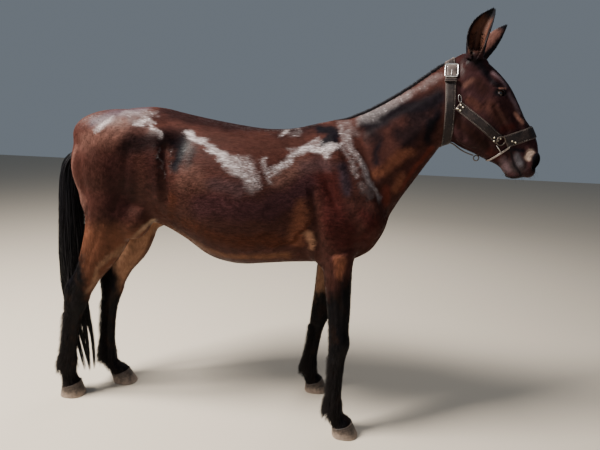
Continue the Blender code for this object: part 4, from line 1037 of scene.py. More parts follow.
# Colours of the head in the same way, partly its own and partly painted light and shade
HEAD_PATCHES = (
    (LIVER, 0.85, 0.028, 0.9, ((1.096, 1.765), (1.108, 1.715), (1.104, 1.665))),
    (RUST, 0.85, 0.018, 0.9, ((1.120, 1.645), (1.145, 1.665))),
    (NIGHT, 0.9, 0.032, 0.9, ((1.132, 1.747), (1.171, 1.730), (1.193, 1.702))),
    (UMBER, 0.75, 0.037, 0.9, ((1.169, 1.661), (1.196, 1.625))),
    # Painted shade in the hollow above the eye
    (NIGHT, 0.9, 0.021, 0.9, ((1.202, 1.694), (1.223, 1.662), (1.249, 1.643))),
    # Painted highlight along the brow
    (ROSE, 0.85, 0.014, 0.9, ((1.227, 1.700), (1.257, 1.676), (1.286, 1.645))),
    # Painted shade in the socket round the eye
    (NIGHT, 0.95, 0.021, 0.7, ((1.247, 1.616), (1.261, 1.611), (1.278, 1.614))),
    # Painted highlight on the fold of the upper lid
    (PEACH, 0.9, 0.007, 0.9, ((1.254, 1.633), (1.281, 1.636))),
    (CHESTNUT, 0.85, 0.028, 0.9, ((1.142, 1.584), (1.167, 1.568), (1.185, 1.548))),
    (CHESTNUT, 0.8, 0.046, 0.9, ((1.227, 1.561), (1.255, 1.534), (1.285, 1.511))),
    # Painted highlight, a bluish sheen, down the front of the face
    (ROSE, 0.85, 0.016, 0.9, ((1.302, 1.613), (1.335, 1.579), (1.360, 1.543))),
    (BLOOD, 0.9, 0.028, 0.9, ((1.298, 1.470), (1.335, 1.484))),
    # Painted highlight on the bone of the nose
    (PEACH, 0.85, 0.014, 0.9, ((1.344, 1.538), (1.362, 1.518), (1.384, 1.502))),
    # Painted shade along the jaw below the cheek strap
    (UMBER, 0.9, 0.037, 0.9, ((1.097, 1.504), (1.138, 1.472), (1.184, 1.440), (1.235, 1.399))),
    (BLOOD, 0.85, 0.028, 0.9, ((1.263, 1.374), (1.312, 1.345))),
    (DUSK, 0.85, 0.041, 0.9, ((1.358, 1.313), (1.396, 1.307))),
    # Painted shadow under the noseband
    (INK, 0.9, 0.014, 0.9, ((1.345, 1.382), (1.370, 1.383), (1.399, 1.380))),
    (GREY, 0.9, 0.022, 0.9, ((1.378, 1.358), (1.394, 1.324))),
    (ROSE, 0.85, 0.026, 0.9, ((1.326, 1.337), (1.348, 1.294))),
    # Painted shade in the line of the mouth
    (NIGHT, 0.9, 0.008, 0.9, ((1.352, 1.370), (1.365, 1.340), (1.381, 1.306), (1.407, 1.276))),
    (SAND, 0.95, 0.021, 0.7, ((1.432, 1.378), (1.422, 1.352))),
    (NIGHT, 0.85, 0.016, 0.9, ((1.370, 1.259), (1.412, 1.263))),
    # Painted shade in the nostril and on the front of the muzzle
    (NIGHT, 1, 0.030, 0.45, ((1.457, 1.353), (1.463, 1.318))),
)
BLACK = (0.0024, 0.0022, 0.0032)
LEG_DUST = (0.0062, 0.0050, 0.0058)
INNER_TAN = (0.240, 0.125, 0.075)
HEAD_BASE = (0.027, 0.0104, 0.0111)
EAR_OUT = (0.085, 0.038, 0.030)
EAR_IN = (0.080, 0.032, 0.020)

# Dried sweat: strength, radius and line on both sides
SWEAT = (
    (0.95, 0.016, ((-0.446, 1.405), (-0.427, 1.415), (-0.411, 1.432), (-0.392, 1.446))),
    (0.22, 0.026, ((-0.450, 1.410), (-0.420, 1.428), (-0.385, 1.455))),
    (1.00, 0.020, ((-0.268, 1.429), (-0.253, 1.434), (-0.236, 1.444))),
    (0.52, 0.034, ((-0.335, 1.475), (-0.306, 1.476), (-0.271, 1.473), (-0.233, 1.466))),
    (0.40, 0.044, ((-0.290, 1.450), (-0.260, 1.445), (-0.225, 1.440))),
    (0.72, 0.013, ((-0.247, 1.465), (-0.190, 1.441))),
    (0.82, 0.012, ((-0.236, 1.444), (-0.182, 1.407))),
    (0.60, 0.016, ((-0.211, 1.415), (-0.160, 1.387))),
    (0.95, 0.013, ((-0.062, 1.396), (-0.034, 1.392), (-0.005, 1.380), (0.025, 1.365), (0.052, 1.341),
                   (0.072, 1.325))),
    (1.00, 0.020, ((0.073, 1.319), (0.100, 1.310), (0.131, 1.303))),
    (0.75, 0.019, ((0.131, 1.303), (0.161, 1.301), (0.186, 1.295))),
    (0.90, 0.030, ((0.142, 1.287), (0.197, 1.248), (0.236, 1.214))),
    (0.66, 0.048, ((0.190, 1.282), (0.226, 1.250), (0.246, 1.205))),
    (0.58, 0.040, ((0.212, 1.298), (0.246, 1.258), (0.267, 1.195))),
    (0.66, 0.020, ((0.286, 1.300), (0.313, 1.252), (0.333, 1.215))),
    (0.48, 0.034, ((0.226, 1.200), (0.250, 1.176))),
    (0.90, 0.020, ((0.345, 1.262), (0.377, 1.277), (0.401, 1.291), (0.420, 1.312), (0.435, 1.329), (0.455, 1.342),
                   (0.476, 1.352))),
    (1.00, 0.018, ((0.476, 1.352), (0.511, 1.345), (0.547, 1.338), (0.572, 1.356), (0.592, 1.373))),
    (0.55, 0.018, ((0.392, 1.345), (0.418, 1.345))),
    (0.70, 0.012, ((0.470, 1.350), (0.483, 1.367), (0.499, 1.384), (0.524, 1.398))),
    (0.62, 0.026, ((0.505, 1.366), (0.531, 1.374))),
    (0.85, 0.022, ((0.557, 1.330), (0.582, 1.344), (0.606, 1.366), (0.614, 1.378))),
    (0.60, 0.019, ((0.605, 1.447), (0.626, 1.396), (0.642, 1.354), (0.657, 1.321), (0.676, 1.284), (0.696, 1.251))),
    (0.70, 0.020, ((0.636, 1.439), (0.661, 1.389), (0.681, 1.347), (0.705, 1.306), (0.730, 1.264), (0.754, 1.222),
                   (0.774, 1.184), (0.796, 1.154))),
    (0.40, 0.030, ((0.617, 1.461), (0.650, 1.444), (0.680, 1.432))),
    (0.48, 0.024, ((0.725, 1.215), (0.760, 1.160))),
    (0.52, 0.036, ((0.690, 1.480), (0.742, 1.512), (0.793, 1.540), (0.844, 1.570), (0.893, 1.602))),
    (0.42, 0.030, ((0.893, 1.602), (0.942, 1.634), (0.989, 1.664), (1.030, 1.692))),
    (0.60, 0.014, ((0.350, 1.408), (0.366, 1.416))),
    (0.34, 0.020, ((0.387, 1.412), (0.425, 1.424))),
    (0.40, 0.007, ((-0.150, 1.330), (-0.142, 1.262), (-0.137, 1.206))),
    (0.36, 0.006, ((-0.112, 1.340), (-0.106, 1.284), (-0.109, 1.230))),
)


def waves(points, size, seed):
    """Soft unevenness from about -1 to 1, with hills about this far apart."""
    dice = np.random.default_rng(seed)
    total = np.zeros(len(points))
    for octave in range(3):
        for _ in range(5):
            way = dice.normal(size=3)
            way *= 2 ** octave * 2 * math.pi / (size * np.linalg.norm(way))
            total += np.sin(points @ way + dice.uniform(0, 6.28)) * 0.5 ** octave
    return total / 3.0


def painted(colour, patches, points):
    """The colours with patches painted over them."""
    for tint, strength, radius, soft, line in patches:
        share = near(points, line, radius, soft) * strength
        colour = colour + (np.array(tint) - colour) * share[:, None]
    return colour


def toward(colour, tint, share):
    """The colours moved to a tint by a share at each point."""
    return colour + (np.array(tint) - colour) * np.clip(share, 0, 1)[:, None]


def ear_shares(points, out):
    """How far up an ear each point is, how close to its rim, and whether it is inside the cup."""
    up = np.full(len(points), -1.0)
    rim = np.zeros(len(points))
    inside = np.zeros(len(points))
    high = np.where((points[:, 2] > 1.755) & (points[:, 0] > 1.06))[0]
    for side, joints in zip((RIGHT, LEFT), EARS.values()):
        index = high[points[high, 1] * side > 0]
        if not len(index):
            continue
        chain = np.array(ear_line(joints))
        gaps = np.linalg.norm(points[index][:, None] - chain[None], axis=2)
        index = index[gaps.min(1) < 0.060]
        nearest = gaps[gaps.min(1) < 0.060].argmin(1)
        for spot in np.unique(nearest):
            mine = index[nearest == spot]
            share = spot / (len(chain) - 1)
            centre, run, across, face = ear_spot(joints, share)
            offset = points[mine] - np.array(centre)
            wide = float(np.interp(share, [row[0] for row in EAR_SHAPE], [row[1] for row in EAR_SHAPE]))
            up[mine] = share
            rim[mine] = np.abs(offset @ np.array(across)) / wide
            inside[mine] = (out[mine] @ np.array(face)) > 0.1
    return up, rim, inside


# How high the black of each leg reaches
BLACK_EDGES = {"fore_right": 0.752, "fore_left": 0.625, "hind_right": 0.690, "hind_left": 0.640}


def leg_black(points):
    """How black the legs are, from the knees and hocks down and up to a ragged edge above them."""
    ragged = waves(points, 0.11, 3) * 0.022 + waves(points, 0.03, 4) * 0.010
    black = np.zeros(len(points))
    for name, joints in LEGS.items():
        side = RIGHT if name.endswith("right") else LEFT
        fore = name.startswith("fore")
        mine = (points[:, 1] * side > 0) & ((points[:, 0] > 0.2) == fore)
        upper = np.array(joints[1])
        lower = np.array(joints[2])
        share = (points[mine, 2] - upper[2]) / (lower[2] - upper[2])
        ahead = np.clip(points[mine, 0] - (upper[0] + (lower[0] - upper[0]) * share), -0.07, 0.07)
        edge = BLACK_EDGES[name] + (0.8 if fore else -1.9) * ahead
        black[mine] = ramp(points[mine, 2] - edge + ragged[mine], 0.055, -0.055)
    return black


def coat_colour(points, out):
    """The colour of the coat, with the painted light and shade among its patches, and how much dried sweat lies on it.
    """
    warp = np.column_stack([waves(points, 0.16, seed) for seed in (11, 12, 13)]) * 0.012
    warp *= 1 - 0.80 * ramp(points[:, 0], 1.03, 1.12)[:, None]
    spots = points + warp
    sides = np.column_stack((spots[:, 0], np.abs(spots[:, 1]), spots[:, 2]))
    body = np.tile(np.array(BAY), (len(points), 1))
    body = painted(body, BODY_PATCHES, sides)
    hind = points[:, 0] < -0.15
    side = np.sign(points[:, 1])
    inward = ramp(-out[:, 1] * side, 0.15, 0.6)
    low = ramp(points[:, 2], 1.02, 0.92)
    gaskin = low * hind
    body = toward(body, (0.100, 0.037, 0.019), gaskin * 0.8)
    body = toward(body, INNER_TAN, inward * low * 0.8)
    black = leg_black(points)
    dust = ramp(waves(points * (1, 1, 0.35), 0.05, 21), -0.1, 0.9) * 0.8
    legs = toward(np.tile(np.array(BLACK), (len(points), 1)), LEG_DUST, dust)
    soil = ramp(points[:, 2] + waves(points, 0.06, 22) * 0.03, 0.135, 0.055)
    legs = toward(legs, (0.050, 0.036, 0.030), soil * ramp(waves(points, 0.03, 23), -0.7, 0.8) * 0.4)
    legs = toward(legs, (0.014, 0.0070, 0.0050), ramp(waves(points * (1, 1, 0.5), 0.07, 24), 0.2, 0.9) * 0.6)
    body = body + (legs - body) * black[:, None]

    face = painted(np.tile(np.array(HEAD_BASE), (len(points), 1)), HEAD_PATCHES, sides)
    up, rim, inside = ear_shares(points, out)
    ears = toward(np.tile(np.array(EAR_OUT), (len(points), 1)), EAR_IN, inside)
    # The ears' own black tips and rims; inside the cup the dark band along the rims is wider, partly painted shade of
    # the opening, and the cup darkens towards its root as painted shade
    edging = np.where(inside > 0.5, ramp(rim, 0.62, 0.86), ramp(rim, 0.84, 0.98))
    dark = np.maximum(ramp(up, 0.72, 0.90), edging * 0.97)
    dark = np.maximum(dark, ramp(up, 0.26, 0.04) * inside * 0.85)
    ears = toward(ears, (0.0045, 0.0045, 0.0065), dark)
    face = face + (ears - face) * ramp(up, -0.02, 0.10)[:, None] * ramp(points[:, 2], 1.745, 1.790)[:, None]
    plane = points[:, 0] + 0.0524 * (points[:, 2] - 1.573)
    share = ramp(plane, 1.060, 1.085)[:, None]
    colour = body + (face - body) * share
    colour *= (1 + 0.16 * waves(points, 0.035, 31) + 0.10 * waves(points * (1, 1, 2), 0.09, 32))[:, None]

    feather = np.column_stack([waves(points, 0.045, seed) for seed in (14, 15, 16)]) * 0.0045
    sweat = np.zeros(len(points))
    for strength, radius, line in SWEAT:
        weight = near(sides + feather, line, radius * 1.30, 0.95) * strength
        sweat = np.maximum(sweat, weight)
    sweat *= ramp(np.abs(out[:, 1]), 0.02, 0.25) * (1 - share[:, 0])
    return np.clip(colour, 0.002, 1.0), sweat


def lie_of(points):
    """The way the hair lies at each point, before it is pressed onto the skin, and weights of three ways."""
    leg = ramp(points[:, 2], 0.98, 0.80)
    head = ramp(points[:, 0] + 0.0524 * (points[:, 2] - 1.573), 1.04, 1.10)
    neck = ramp(points[:, 0], 0.62, 0.80) * (1 - head)
    rear = ramp(points[:, 0], -0.20, -0.45)
    way = np.tile(np.array((-0.95, 0.0, -0.22)), (len(points), 1))
    way = way + (np.array((-0.62, 0.0, -0.78)) - way) * neck[:, None]
    way = way + (np.array((-0.45, 0.0, -0.89)) - way) * rear[:, None]
    way = way + (np.array((-0.05, 0.0, -1.0)) - way) * leg[:, None]
    way = way + (np.array((0.52, 0.0, -0.85)) - way) * head[:, None]
    ear = ramp(points[:, 2], 1.76, 1.80) * head
    way = way + (np.array((0.25, 0.0, 1.0)) - way) * ear[:, None]
    steep = np.maximum(leg, ear)
    slant = np.maximum(np.maximum(neck, rear) * (1 - leg) * 0.7, 0)
    level = (1 - steep) * (1 - slant) * (1 - head)
    weights = np.column_stack((level, steep, slant * (1 - steep), head * (1 - ear)))
    return way, weights


def add_numbers(data, name, values):
    """A number at each point of a mesh."""
    data.attributes.new(name, "FLOAT", "POINT").data.foreach_set("value", np.ascontiguousarray(values, float))


def add_colours(data, name, values):
    """A colour at each point of a mesh."""
    full = np.column_stack((values, np.ones(len(values))))
    data.attributes.new(name, "FLOAT_COLOR", "POINT").data.foreach_set("color", full.ravel())


def dress(piece, points, out, each=1):
    """Gives a mesh the coat's colours, sweat and lie, found at the points that its own stand for."""
    colour, sweat = [np.repeat(value, each, 0) for value in coat_colour(points, out)]
    weights = np.repeat(lie_of(points)[1], each, 0)
    add_colours(piece.data, "coat", colour)
    add_numbers(piece.data, "sweat", sweat)
    add_colours(piece.data, "lie", weights[:, [0, 1, 3]])
    add_numbers(piece.data, "slant", weights[:, 2])
    return piece


def unwrap(points):
    """A place on a flat plan of the skin: trunk, neck, head and each leg opened out in a cell of its own."""
    plan = np.zeros((len(points), 2))
    cells = [(None, (-0.75, 0, 1.15), (0.80, 0, 1.15), (0.02, 0.42, 0.56, 0.56)),
             ("neck", (0.62, 0, 1.20), (1.12, 0, 1.62), (0.60, 0.66, 0.38, 0.32)),
             ("head", (1.12, 0, 1.72), (1.46, 0, 1.28), (0.60, 0.30, 0.38, 0.34)),
             ("ears", (1.15, 0, 1.74), (1.22, 0, 1.95), (0.60, 0.16, 0.38, 0.12))]
    for index, (name, joints) in enumerate(LEGS.items()):
        cells.append((name, joints[1], joints[4], (0.02 + 0.145 * index, 0.02, 0.13, 0.38)))
    ahead = points[:, 0] + 0.0524 * (points[:, 2] - 1.573)
    for name, start, end, (left, low, wide, high) in cells:
        start = np.array(start)
        run = np.array(end) - start
        length = np.linalg.norm(run)
        run /= length
        if name is None:
            mine = np.ones(len(points), bool)
        elif name == "neck":
            mine = (points[:, 0] > 0.74) & (ahead <= 1.07)
        elif name == "head":
            mine = ahead > 1.07
        elif name == "ears":
            mine = (ahead > 1.07) & (points[:, 2] > 1.775)
        else:
            side = RIGHT if name.endswith("right") else LEFT
            mine = (points[:, 2] < 0.88) & (points[:, 1] * side > 0) & ((points[:, 0] > 0.2) == (name[0] == "f"))
            mine &= (points[:, 2] < 0.80) | (np.abs(points[:, 0]) > 0.30)
        offset = points[mine] - start
        along = np.clip(offset @ run / length, 0, 1)
        over = np.cross(run, (0, 1, 0))
        turn = np.arctan2(offset[:, 1], offset @ over) / (2 * math.pi) + 0.5
        plan[mine, 0] = left + wide * (turn if name in LEGS else along)
        plan[mine, 1] = low + high * (along if name in LEGS else turn)
    return plan


def tufts(name, tree_piece, count, seed, keep, length, width, lift, spread=0.16):
    """Short flat tufts of hair over part of the skin, each a thin closed spike along the lie."""
    dice = np.random.default_rng(seed)
    data = tree_piece.data
    corners = np.empty(len(data.polygons) * 3, np.int32)
    data.polygons.foreach_get("vertices", corners)
    corners = corners.reshape(-1, 3)
    points = places(tree_piece)
    normals = ways_out(tree_piece)
    middles = points[corners].mean(1)
    areas = np.linalg.norm(np.cross(points[corners[:, 1]] - points[corners[:, 0]],
                                    points[corners[:, 2]] - points[corners[:, 0]]), axis=1)
    chance = areas * keep(middles)
    picked = dice.choice(len(corners), count, p=chance / chance.sum())
    shares = dice.dirichlet((1, 1, 1), count)
    roots = (points[corners[picked]] * shares[:, :, None]).sum(1)
    out = (normals[corners[picked]] * shares[:, :, None]).sum(1)
    out /= np.linalg.norm(out, axis=1)[:, None]
    way = lie_of(roots)[0] + dice.normal(scale=spread, size=(count, 3))
    way -= out * (way * out).sum(1)[:, None]
    way /= np.linalg.norm(way, axis=1)[:, None] + 1e-9
    across = np.cross(out, way)
    long = (length(roots) if callable(length) else length) * dice.uniform(0.7, 1.3, count)
    wide = (width(roots) if callable(width) else width) * dice.uniform(0.8, 1.2, count)
    high = lift * dice.uniform(0.5, 1.4, count)
    base = roots - out * (wide * 0.5)[:, None]
    one = base + across * (wide * 0.5)[:, None]
    two = base - across * (wide * 0.5)[:, None]
    top = roots + out * (wide * 0.25)[:, None] + way * (long * 0.1)[:, None]
    tip = roots + way * long[:, None] + out * high[:, None]
    verts = np.stack((one, two, top, tip), 1).reshape(-1, 3)
    first = np.arange(count)[:, None, None] * 4
    faces = (np.array(((0, 1, 2), (1, 0, 3), (0, 2, 3), (2, 1, 3)))[None] + first).reshape(-1, 3)
    piece = mesh_from(name, verts, faces)
    dress(piece, roots, out, 4)
    bake_patches(piece, unwrap(roots), 4, ((0, 0), (1, 0), (0.5, 1), (0.5, 0.5)))
    tilt = np.repeat(out, 4, 0)
    piece.data.normals_split_custom_set_from_vertices(tilt.tolist())
    return piece


def mesh_from(name, verts, faces):
    """A mesh object from rows of points and rows of three corners, shaded smooth."""
    data = bpy.data.meshes.new(name)
    data.vertices.add(len(verts))
    data.vertices.foreach_set("co", np.ascontiguousarray(verts, float).ravel())
    data.loops.add(len(faces) * 3)
    data.loops.foreach_set("vertex_index", np.ascontiguousarray(faces, np.int32).ravel())
    data.polygons.add(len(faces))
    data.polygons.foreach_set("loop_start", np.arange(len(faces), dtype=np.int32) * 3)
    data.polygons.foreach_set("loop_total", np.full(len(faces), 3, np.int32))
    data.polygons.foreach_set("use_smooth", np.ones(len(faces), bool))
    data.update(calc_edges=True)
    data.validate()
    made = bpy.data.objects.new(name, data)
    bpy.context.scene.collection.objects.link(made)
    return made


PATCH = 0.003


def bake_patches(piece, spots, each, offsets):
    """A map where every tuft is a small patch at its root's place on the plan of the skin."""
    data = piece.data
    plan = np.repeat(spots, each, 0) + np.tile(np.array(offsets, float), (len(spots), 1)) * PATCH
    corners = np.empty(len(data.loops), np.int32)
    data.loops.foreach_get("vertex_index", corners)
    data.uv_layers.new(name="OFBake").uv.foreach_set("vector", plan[corners].ravel())


def material(name, roughness, **sockets):
    """A material with its shader, ready for nodes."""
    stuff = bpy.data.materials.new(name)
    stuff.use_nodes = True
    shader = stuff.node_tree.nodes["Principled BSDF"]
    shader.inputs["Roughness"].default_value = roughness
    for socket, value in sockets.items():
        shader.inputs[socket.replace("_", " ")].default_value = value
    return stuff, stuff.node_tree, shader


def add_node(tree, kind, links=(), **values):
    """A shader node with its settings, values and links to its inputs by name or number."""
    made = tree.nodes.new("ShaderNode" + kind)
    for key, value in values.items():
        setattr(made, key, value)
    for socket, value in dict(links).items():
        if isinstance(value, bpy.types.NodeSocket):
            tree.links.new(value, made.inputs[socket])
        else:
            made.inputs[socket].default_value = value
    return made


def maths(tree, operation, first, second=0.5):
    """The result of a sum on two values or sockets."""
    return add_node(tree, "Math", {0: first, 1: second}, operation=operation).outputs[0]


def noise_at(tree, where, scale, detail=2.0, rough=0.5):
    """A noise at a place."""
    made = add_node(tree, "TexNoise", {"Vector": where, "Scale": scale, "Detail": detail, "Roughness": rough})
    return made.outputs["Fac"]


def stretched(tree, where, turn, scale):
    """The place turned about the Y axis and scaled, to draw a noise out along the hair."""
    if turn:
        where = add_node(tree, "Mapping", {"Vector": where, "Rotation": (0, math.radians(turn), 0)}).outputs[0]
    return add_node(tree, "Mapping", {"Vector": where, "Scale": scale}).outputs[0]


def eased(tree, value, low, high, to_low=0.0, to_high=1.0):
    """The value drawn from one range to another, smoothly."""
    made = add_node(tree, "MapRange", {"Value": value, "From Min": low, "From Max": high, "To Min": to_low,
                                       "To Max": to_high}, interpolation_type="SMOOTHSTEP")
    return made.outputs[0]


def mixed(tree, share, first, second, blend="MIX"):
    """Two colours mixed by a share."""
    made = add_node(tree, "Mix", {0: share, 6: first, 7: second}, data_type="RGBA", blend_type=blend)
    return made.outputs[2]


def bumped(tree, shader, height, distance, strength=1.0):
    """Raises the surface by a height."""
    bump = add_node(tree, "Bump", {"Height": height, "Distance": distance, "Strength": strength})
    tree.links.new(bump.outputs[0], shader.inputs["Normal"])


def grey(tree, value):
    """A value as a colour."""
    return add_node(tree, "CombineColor", {0: value, 1: value, 2: value}).outputs[0]


def hair_noise(tree, fine, detail=2.0, long=0.12):
    """A noise drawn out along the lie of the coat, wherever on the body."""
    where = add_node(tree, "TexCoord").outputs["Object"]
    lie = add_node(tree, "Attribute", attribute_name="lie")
    slant = add_node(tree, "Attribute", attribute_name="slant").outputs["Fac"]
    split = add_node(tree, "SeparateColor", {0: lie.outputs["Color"]})
    level = noise_at(tree, stretched(tree, where, 0, (long, 1, 1)), fine, detail)
    steep = noise_at(tree, stretched(tree, where, 0, (1, 1, long)), fine, detail)
    slanting = noise_at(tree, stretched(tree, where, 55, (1, 1, long)), fine, detail)
    facing = noise_at(tree, stretched(tree, where, -32, (1, 1, long)), fine, detail)
    total = maths(tree, "MULTIPLY", level, split.outputs[0])
    for part, weight in ((steep, split.outputs[1]), (slanting, slant), (facing, split.outputs[2])):
        total = maths(tree, "ADD", total, maths(tree, "MULTIPLY", part, weight))
    return total


def coat_material(name, bump=1.0):
    """Short hair in the colours of the mesh, with dried sweat, drawn out along the lie."""
    stuff, tree, shader = material(name, 0.5, Specular_IOR_Level=0.06)
    colour = add_node(tree, "Attribute", attribute_name="coat").outputs["Color"]
    sweat = add_node(tree, "Attribute", attribute_name="sweat").outputs["Fac"]
    fine = hair_noise(tree, 420.0)
    broad = hair_noise(tree, 90.0, 3.0)
    tone = maths(tree, "ADD", eased(tree, fine, 0.25, 0.75, 0.72, 1.12), eased(tree, broad, 0.2, 0.8, -0.14, 0.18))
    colour = mixed(tree, 1.0, colour, grey(tree, tone), "MULTIPLY")
    speckle = hair_noise(tree, 180.0, 4.0, 0.15)
    ragged = maths(tree, "ADD", maths(tree, "MULTIPLY", broad, 0.8), maths(tree, "MULTIPLY", speckle, 2.0))
    crust = eased(tree, maths(tree, "ADD", sweat, maths(tree, "SUBTRACT", ragged, 1.47)), 0.32, 1.15)
    crust = maths(tree, "MULTIPLY", crust, eased(tree, sweat, 0.03, 0.28))
    haze = maths(tree, "MULTIPLY", eased(tree, sweat, 0.10, 1.0), 0.42)
    salt = maths(tree, "MAXIMUM", crust, haze)
    pale = mixed(tree, eased(tree, fine, 0.3, 0.7), (0.24, 0.20, 0.20, 1), (0.62, 0.57, 0.58, 1))
    colour = mixed(tree, maths(tree, "MULTIPLY", salt, 0.92), colour, pale)
    tree.links.new(colour, shader.inputs["Base Color"])
    rough = maths(tree, "ADD", eased(tree, fine, 0.2, 0.8, 0.36, 0.52), maths(tree, "MULTIPLY", salt, 0.35))
    tree.links.new(rough, shader.inputs["Roughness"])
    height = maths(tree, "ADD", maths(tree, "MULTIPLY", fine, 0.5), maths(tree, "MULTIPLY", broad, 1.2))
    bumped(tree, shader, height, 0.0016, 0.55 * bump)
    return stuff


def hair_material(name, dark, light, roughness=0.42):
    """Long hair, each strand a little different, as its mesh says."""
    stuff, tree, shader = material(name, roughness, Specular_IOR_Level=0.15)
    shade = add_node(tree, "Attribute", attribute_name="shade").outputs["Fac"]
    where = add_node(tree, "TexCoord").outputs["Object"]
    streak = noise_at(tree, stretched(tree, where, 0, (1, 1, 0.06)), 700.0)
    share = maths(tree, "MULTIPLY", shade, eased(tree, streak, 0.3, 0.7, 0.6, 1.3))
    tree.links.new(mixed(tree, share, dark + (1,), light + (1,)), shader.inputs["Base Color"])
    bumped(tree, shader, streak, 0.0006, 0.6)
    return stuff


def strands(name, lines, widths, thicks, outs, shades, sides=3):
    """Hairs or locks as closed prisms along lines: arrays of strand, point and place."""
    count, length = lines.shape[:2]
    runs = np.gradient(lines, axis=1)
    runs /= np.linalg.norm(runs, axis=2)[:, :, None] + 1e-12
    across = np.cross(runs, outs)
    across /= np.linalg.norm(across, axis=2)[:, :, None] + 1e-12
    rise = np.cross(across, runs)
    turns = [2 * math.pi * (step + 0.5) / sides + math.pi / 2 for step in range(sides)]
    rings = [lines[:, :-1] + across[:, :-1] * (math.cos(turn) * widths[:, :-1, None] / 2)
             + rise[:, :-1] * (math.sin(turn) * thicks[:, :-1, None] / 2) for turn in turns]
    body = np.stack(rings, 2).reshape(count, -1, 3)
    verts = np.concatenate((body, lines[:, -1:]), 1)
    each = verts.shape[1]
    rows = length - 1
    faces = []
    for step in range(1, sides - 1):
        faces.append((0, step + 1, step))
    for row in range(rows - 1):
        for step in range(sides):
            after = (step + 1) % sides
            low = row * sides
            high = low + sides
            faces.append((low + step, low + after, high + after))
            faces.append((low + step, high + after, high + step))
    last = (rows - 1) * sides
    for step in range(sides):
        faces.append((last + step, last + (step + 1) % sides, each - 1))
    faces = np.array(faces)[:, ::-1] if _turned_in(verts[0], faces) else np.array(faces)
    whole = (faces[None] + np.arange(count)[:, None, None] * each).reshape(-1, 3)
    piece = mesh_from(name, verts.reshape(-1, 3), whole)
    add_numbers(piece.data, "shade", np.repeat(shades, each))
    return piece, each


def _turned_in(verts, faces):
    """Whether the faces of one closed form look inward."""
    total = 0.0
    for a, b, c in faces:
        total += float(np.dot(verts[a], np.cross(verts[b], verts[c])))
    return total < 0


def bake_strands(piece, roots, each):
    """A patch of the plan for every strand, at its root."""
    steps = np.arange(each) / (each - 1)
    offsets = np.column_stack((np.abs(np.sin(steps * 40)), steps))
    bake_patches(piece, unwrap(roots), each, offsets)


def tail_places(shares):
    """The tail's line and reaches at many shares of its length."""
    rows = np.array(smooth_rows(TAIL, 6))
    spot = np.clip(shares, 0, 1) * (len(rows) - 1)
    index = np.minimum(spot.astype(int), len(rows) - 2)
    part = (spot - index)[..., None]
    row = rows[index] + (rows[index + 1] - rows[index]) * part
    run = rows[index + 1][..., :2] - rows[index][..., :2]
    run /= np.linalg.norm(run, axis=-1)[..., None]
    centre = np.stack((row[..., 0], np.zeros_like(row[..., 0]), row[..., 1]), -1)
    forward = np.stack((-run[..., 1], np.zeros_like(run[..., 0]), run[..., 0]), -1)
    return centre, forward, row[..., 2], row[..., 3], row[..., 4]


WISPS = 8


def tail_hair(name, count, seed, steps, width, thick, deep, start_range, long_range, sides):
    """Strands or locks of the tail, from the dock down."""
    dice = np.random.default_rng(seed)
    angle = dice.uniform(0, 2 * math.pi, count)[:, None]
    start = dice.uniform(*start_range, count)[:, None]
    end = np.minimum(start + dice.uniform(*long_range, count)[:, None], 1.0)
    along = np.linspace(0, 1, steps)[None]
    share = start + (end - start) * along
    centre, forward, wide, front, back = tail_places(share)
    ahead = np.cos(angle)
    reach = forward * (ahead * np.where(ahead > 0, front, back))[..., None]
    reach = reach + np.stack((np.zeros_like(wide), np.sin(angle) * wide, np.zeros_like(wide)), -1)
    full = 0.30 + 0.66 * np.sin(math.pi * np.minimum(1.0, 0.06 + along * 0.80))
    full = full * dice.uniform(*deep, count)[:, None]
    sway = np.sin(along * dice.uniform(2, 7, count)[:, None] + dice.uniform(0, 6.28, count)[:, None])
    sway = sway * along * dice.normal(scale=0.0045, size=count)[:, None]
    lines = centre + reach * full[..., None]
    lines[..., 1] += sway
    lines[..., 0] += np.roll(sway, 1, 0) * 0.8
    outs = reach / (np.linalg.norm(reach, axis=-1)[..., None] + 1e-9)
    turn = dice.integers(0, WISPS, count)
    wisp = 2 * math.pi * turn / WISPS
    ahead = np.cos(wisp)[:, None]
    spread = forward * (ahead * np.where(ahead > 0, front, back))[..., None]
    spread[..., 1] += np.sin(wisp)[:, None] * wide
    thin = dice.normal(scale=0.10, size=(count, 1, 3)) * wide[..., None]
    gather = (ramp(share, 0.55, 0.92) * 0.94)[..., None]
    drift = (ramp(share, 0.75, 1.0) * (0.010 * np.sin(wisp * 3)[:, None]))[..., None] * forward
    lines = lines + (centre + spread * 0.86 + thin + drift - lines) * gather
    grade = np.clip(1 - along ** 3, 0.12, 1) * np.clip(0.5 + along * 4, 0, 1)
    widths = grade * width * dice.uniform(0.7, 1.3, count)[:, None]
    piece, each = strands(name, lines, widths, widths * thick, outs, dice.uniform(0, 1, count), sides)
    bake_strands(piece, lines[:, 0], each)
    return piece


def tail_core():
    """The inside of the tail, which its hair hides, kept dark as painted shade within the hair."""
    rings = []
    steps = 40
    for index in range(steps + 1):
        share = 0.62 * index / steps
        centre, run, forward, wide, front, back = tail_spot(share)
        size = 0.95 - 0.25 * min(1.0, 4 * share)
        size *= min(1.0, (1.02 - index / steps) * 3)
        ahead = centre + forward * front * size
        behind = centre - forward * back * size
        rings.append(section(ahead, behind, wide * size, 0.5, 2.0, 2.0, 40))
    core = loft("tail_core", rings)
    for face in core.data.polygons:
        face.use_smooth = True
    # Painted shade: the core takes the dark end of the hair's tints
    add_numbers(core.data, "shade", np.full(len(core.data.vertices), 0.2))
    return core


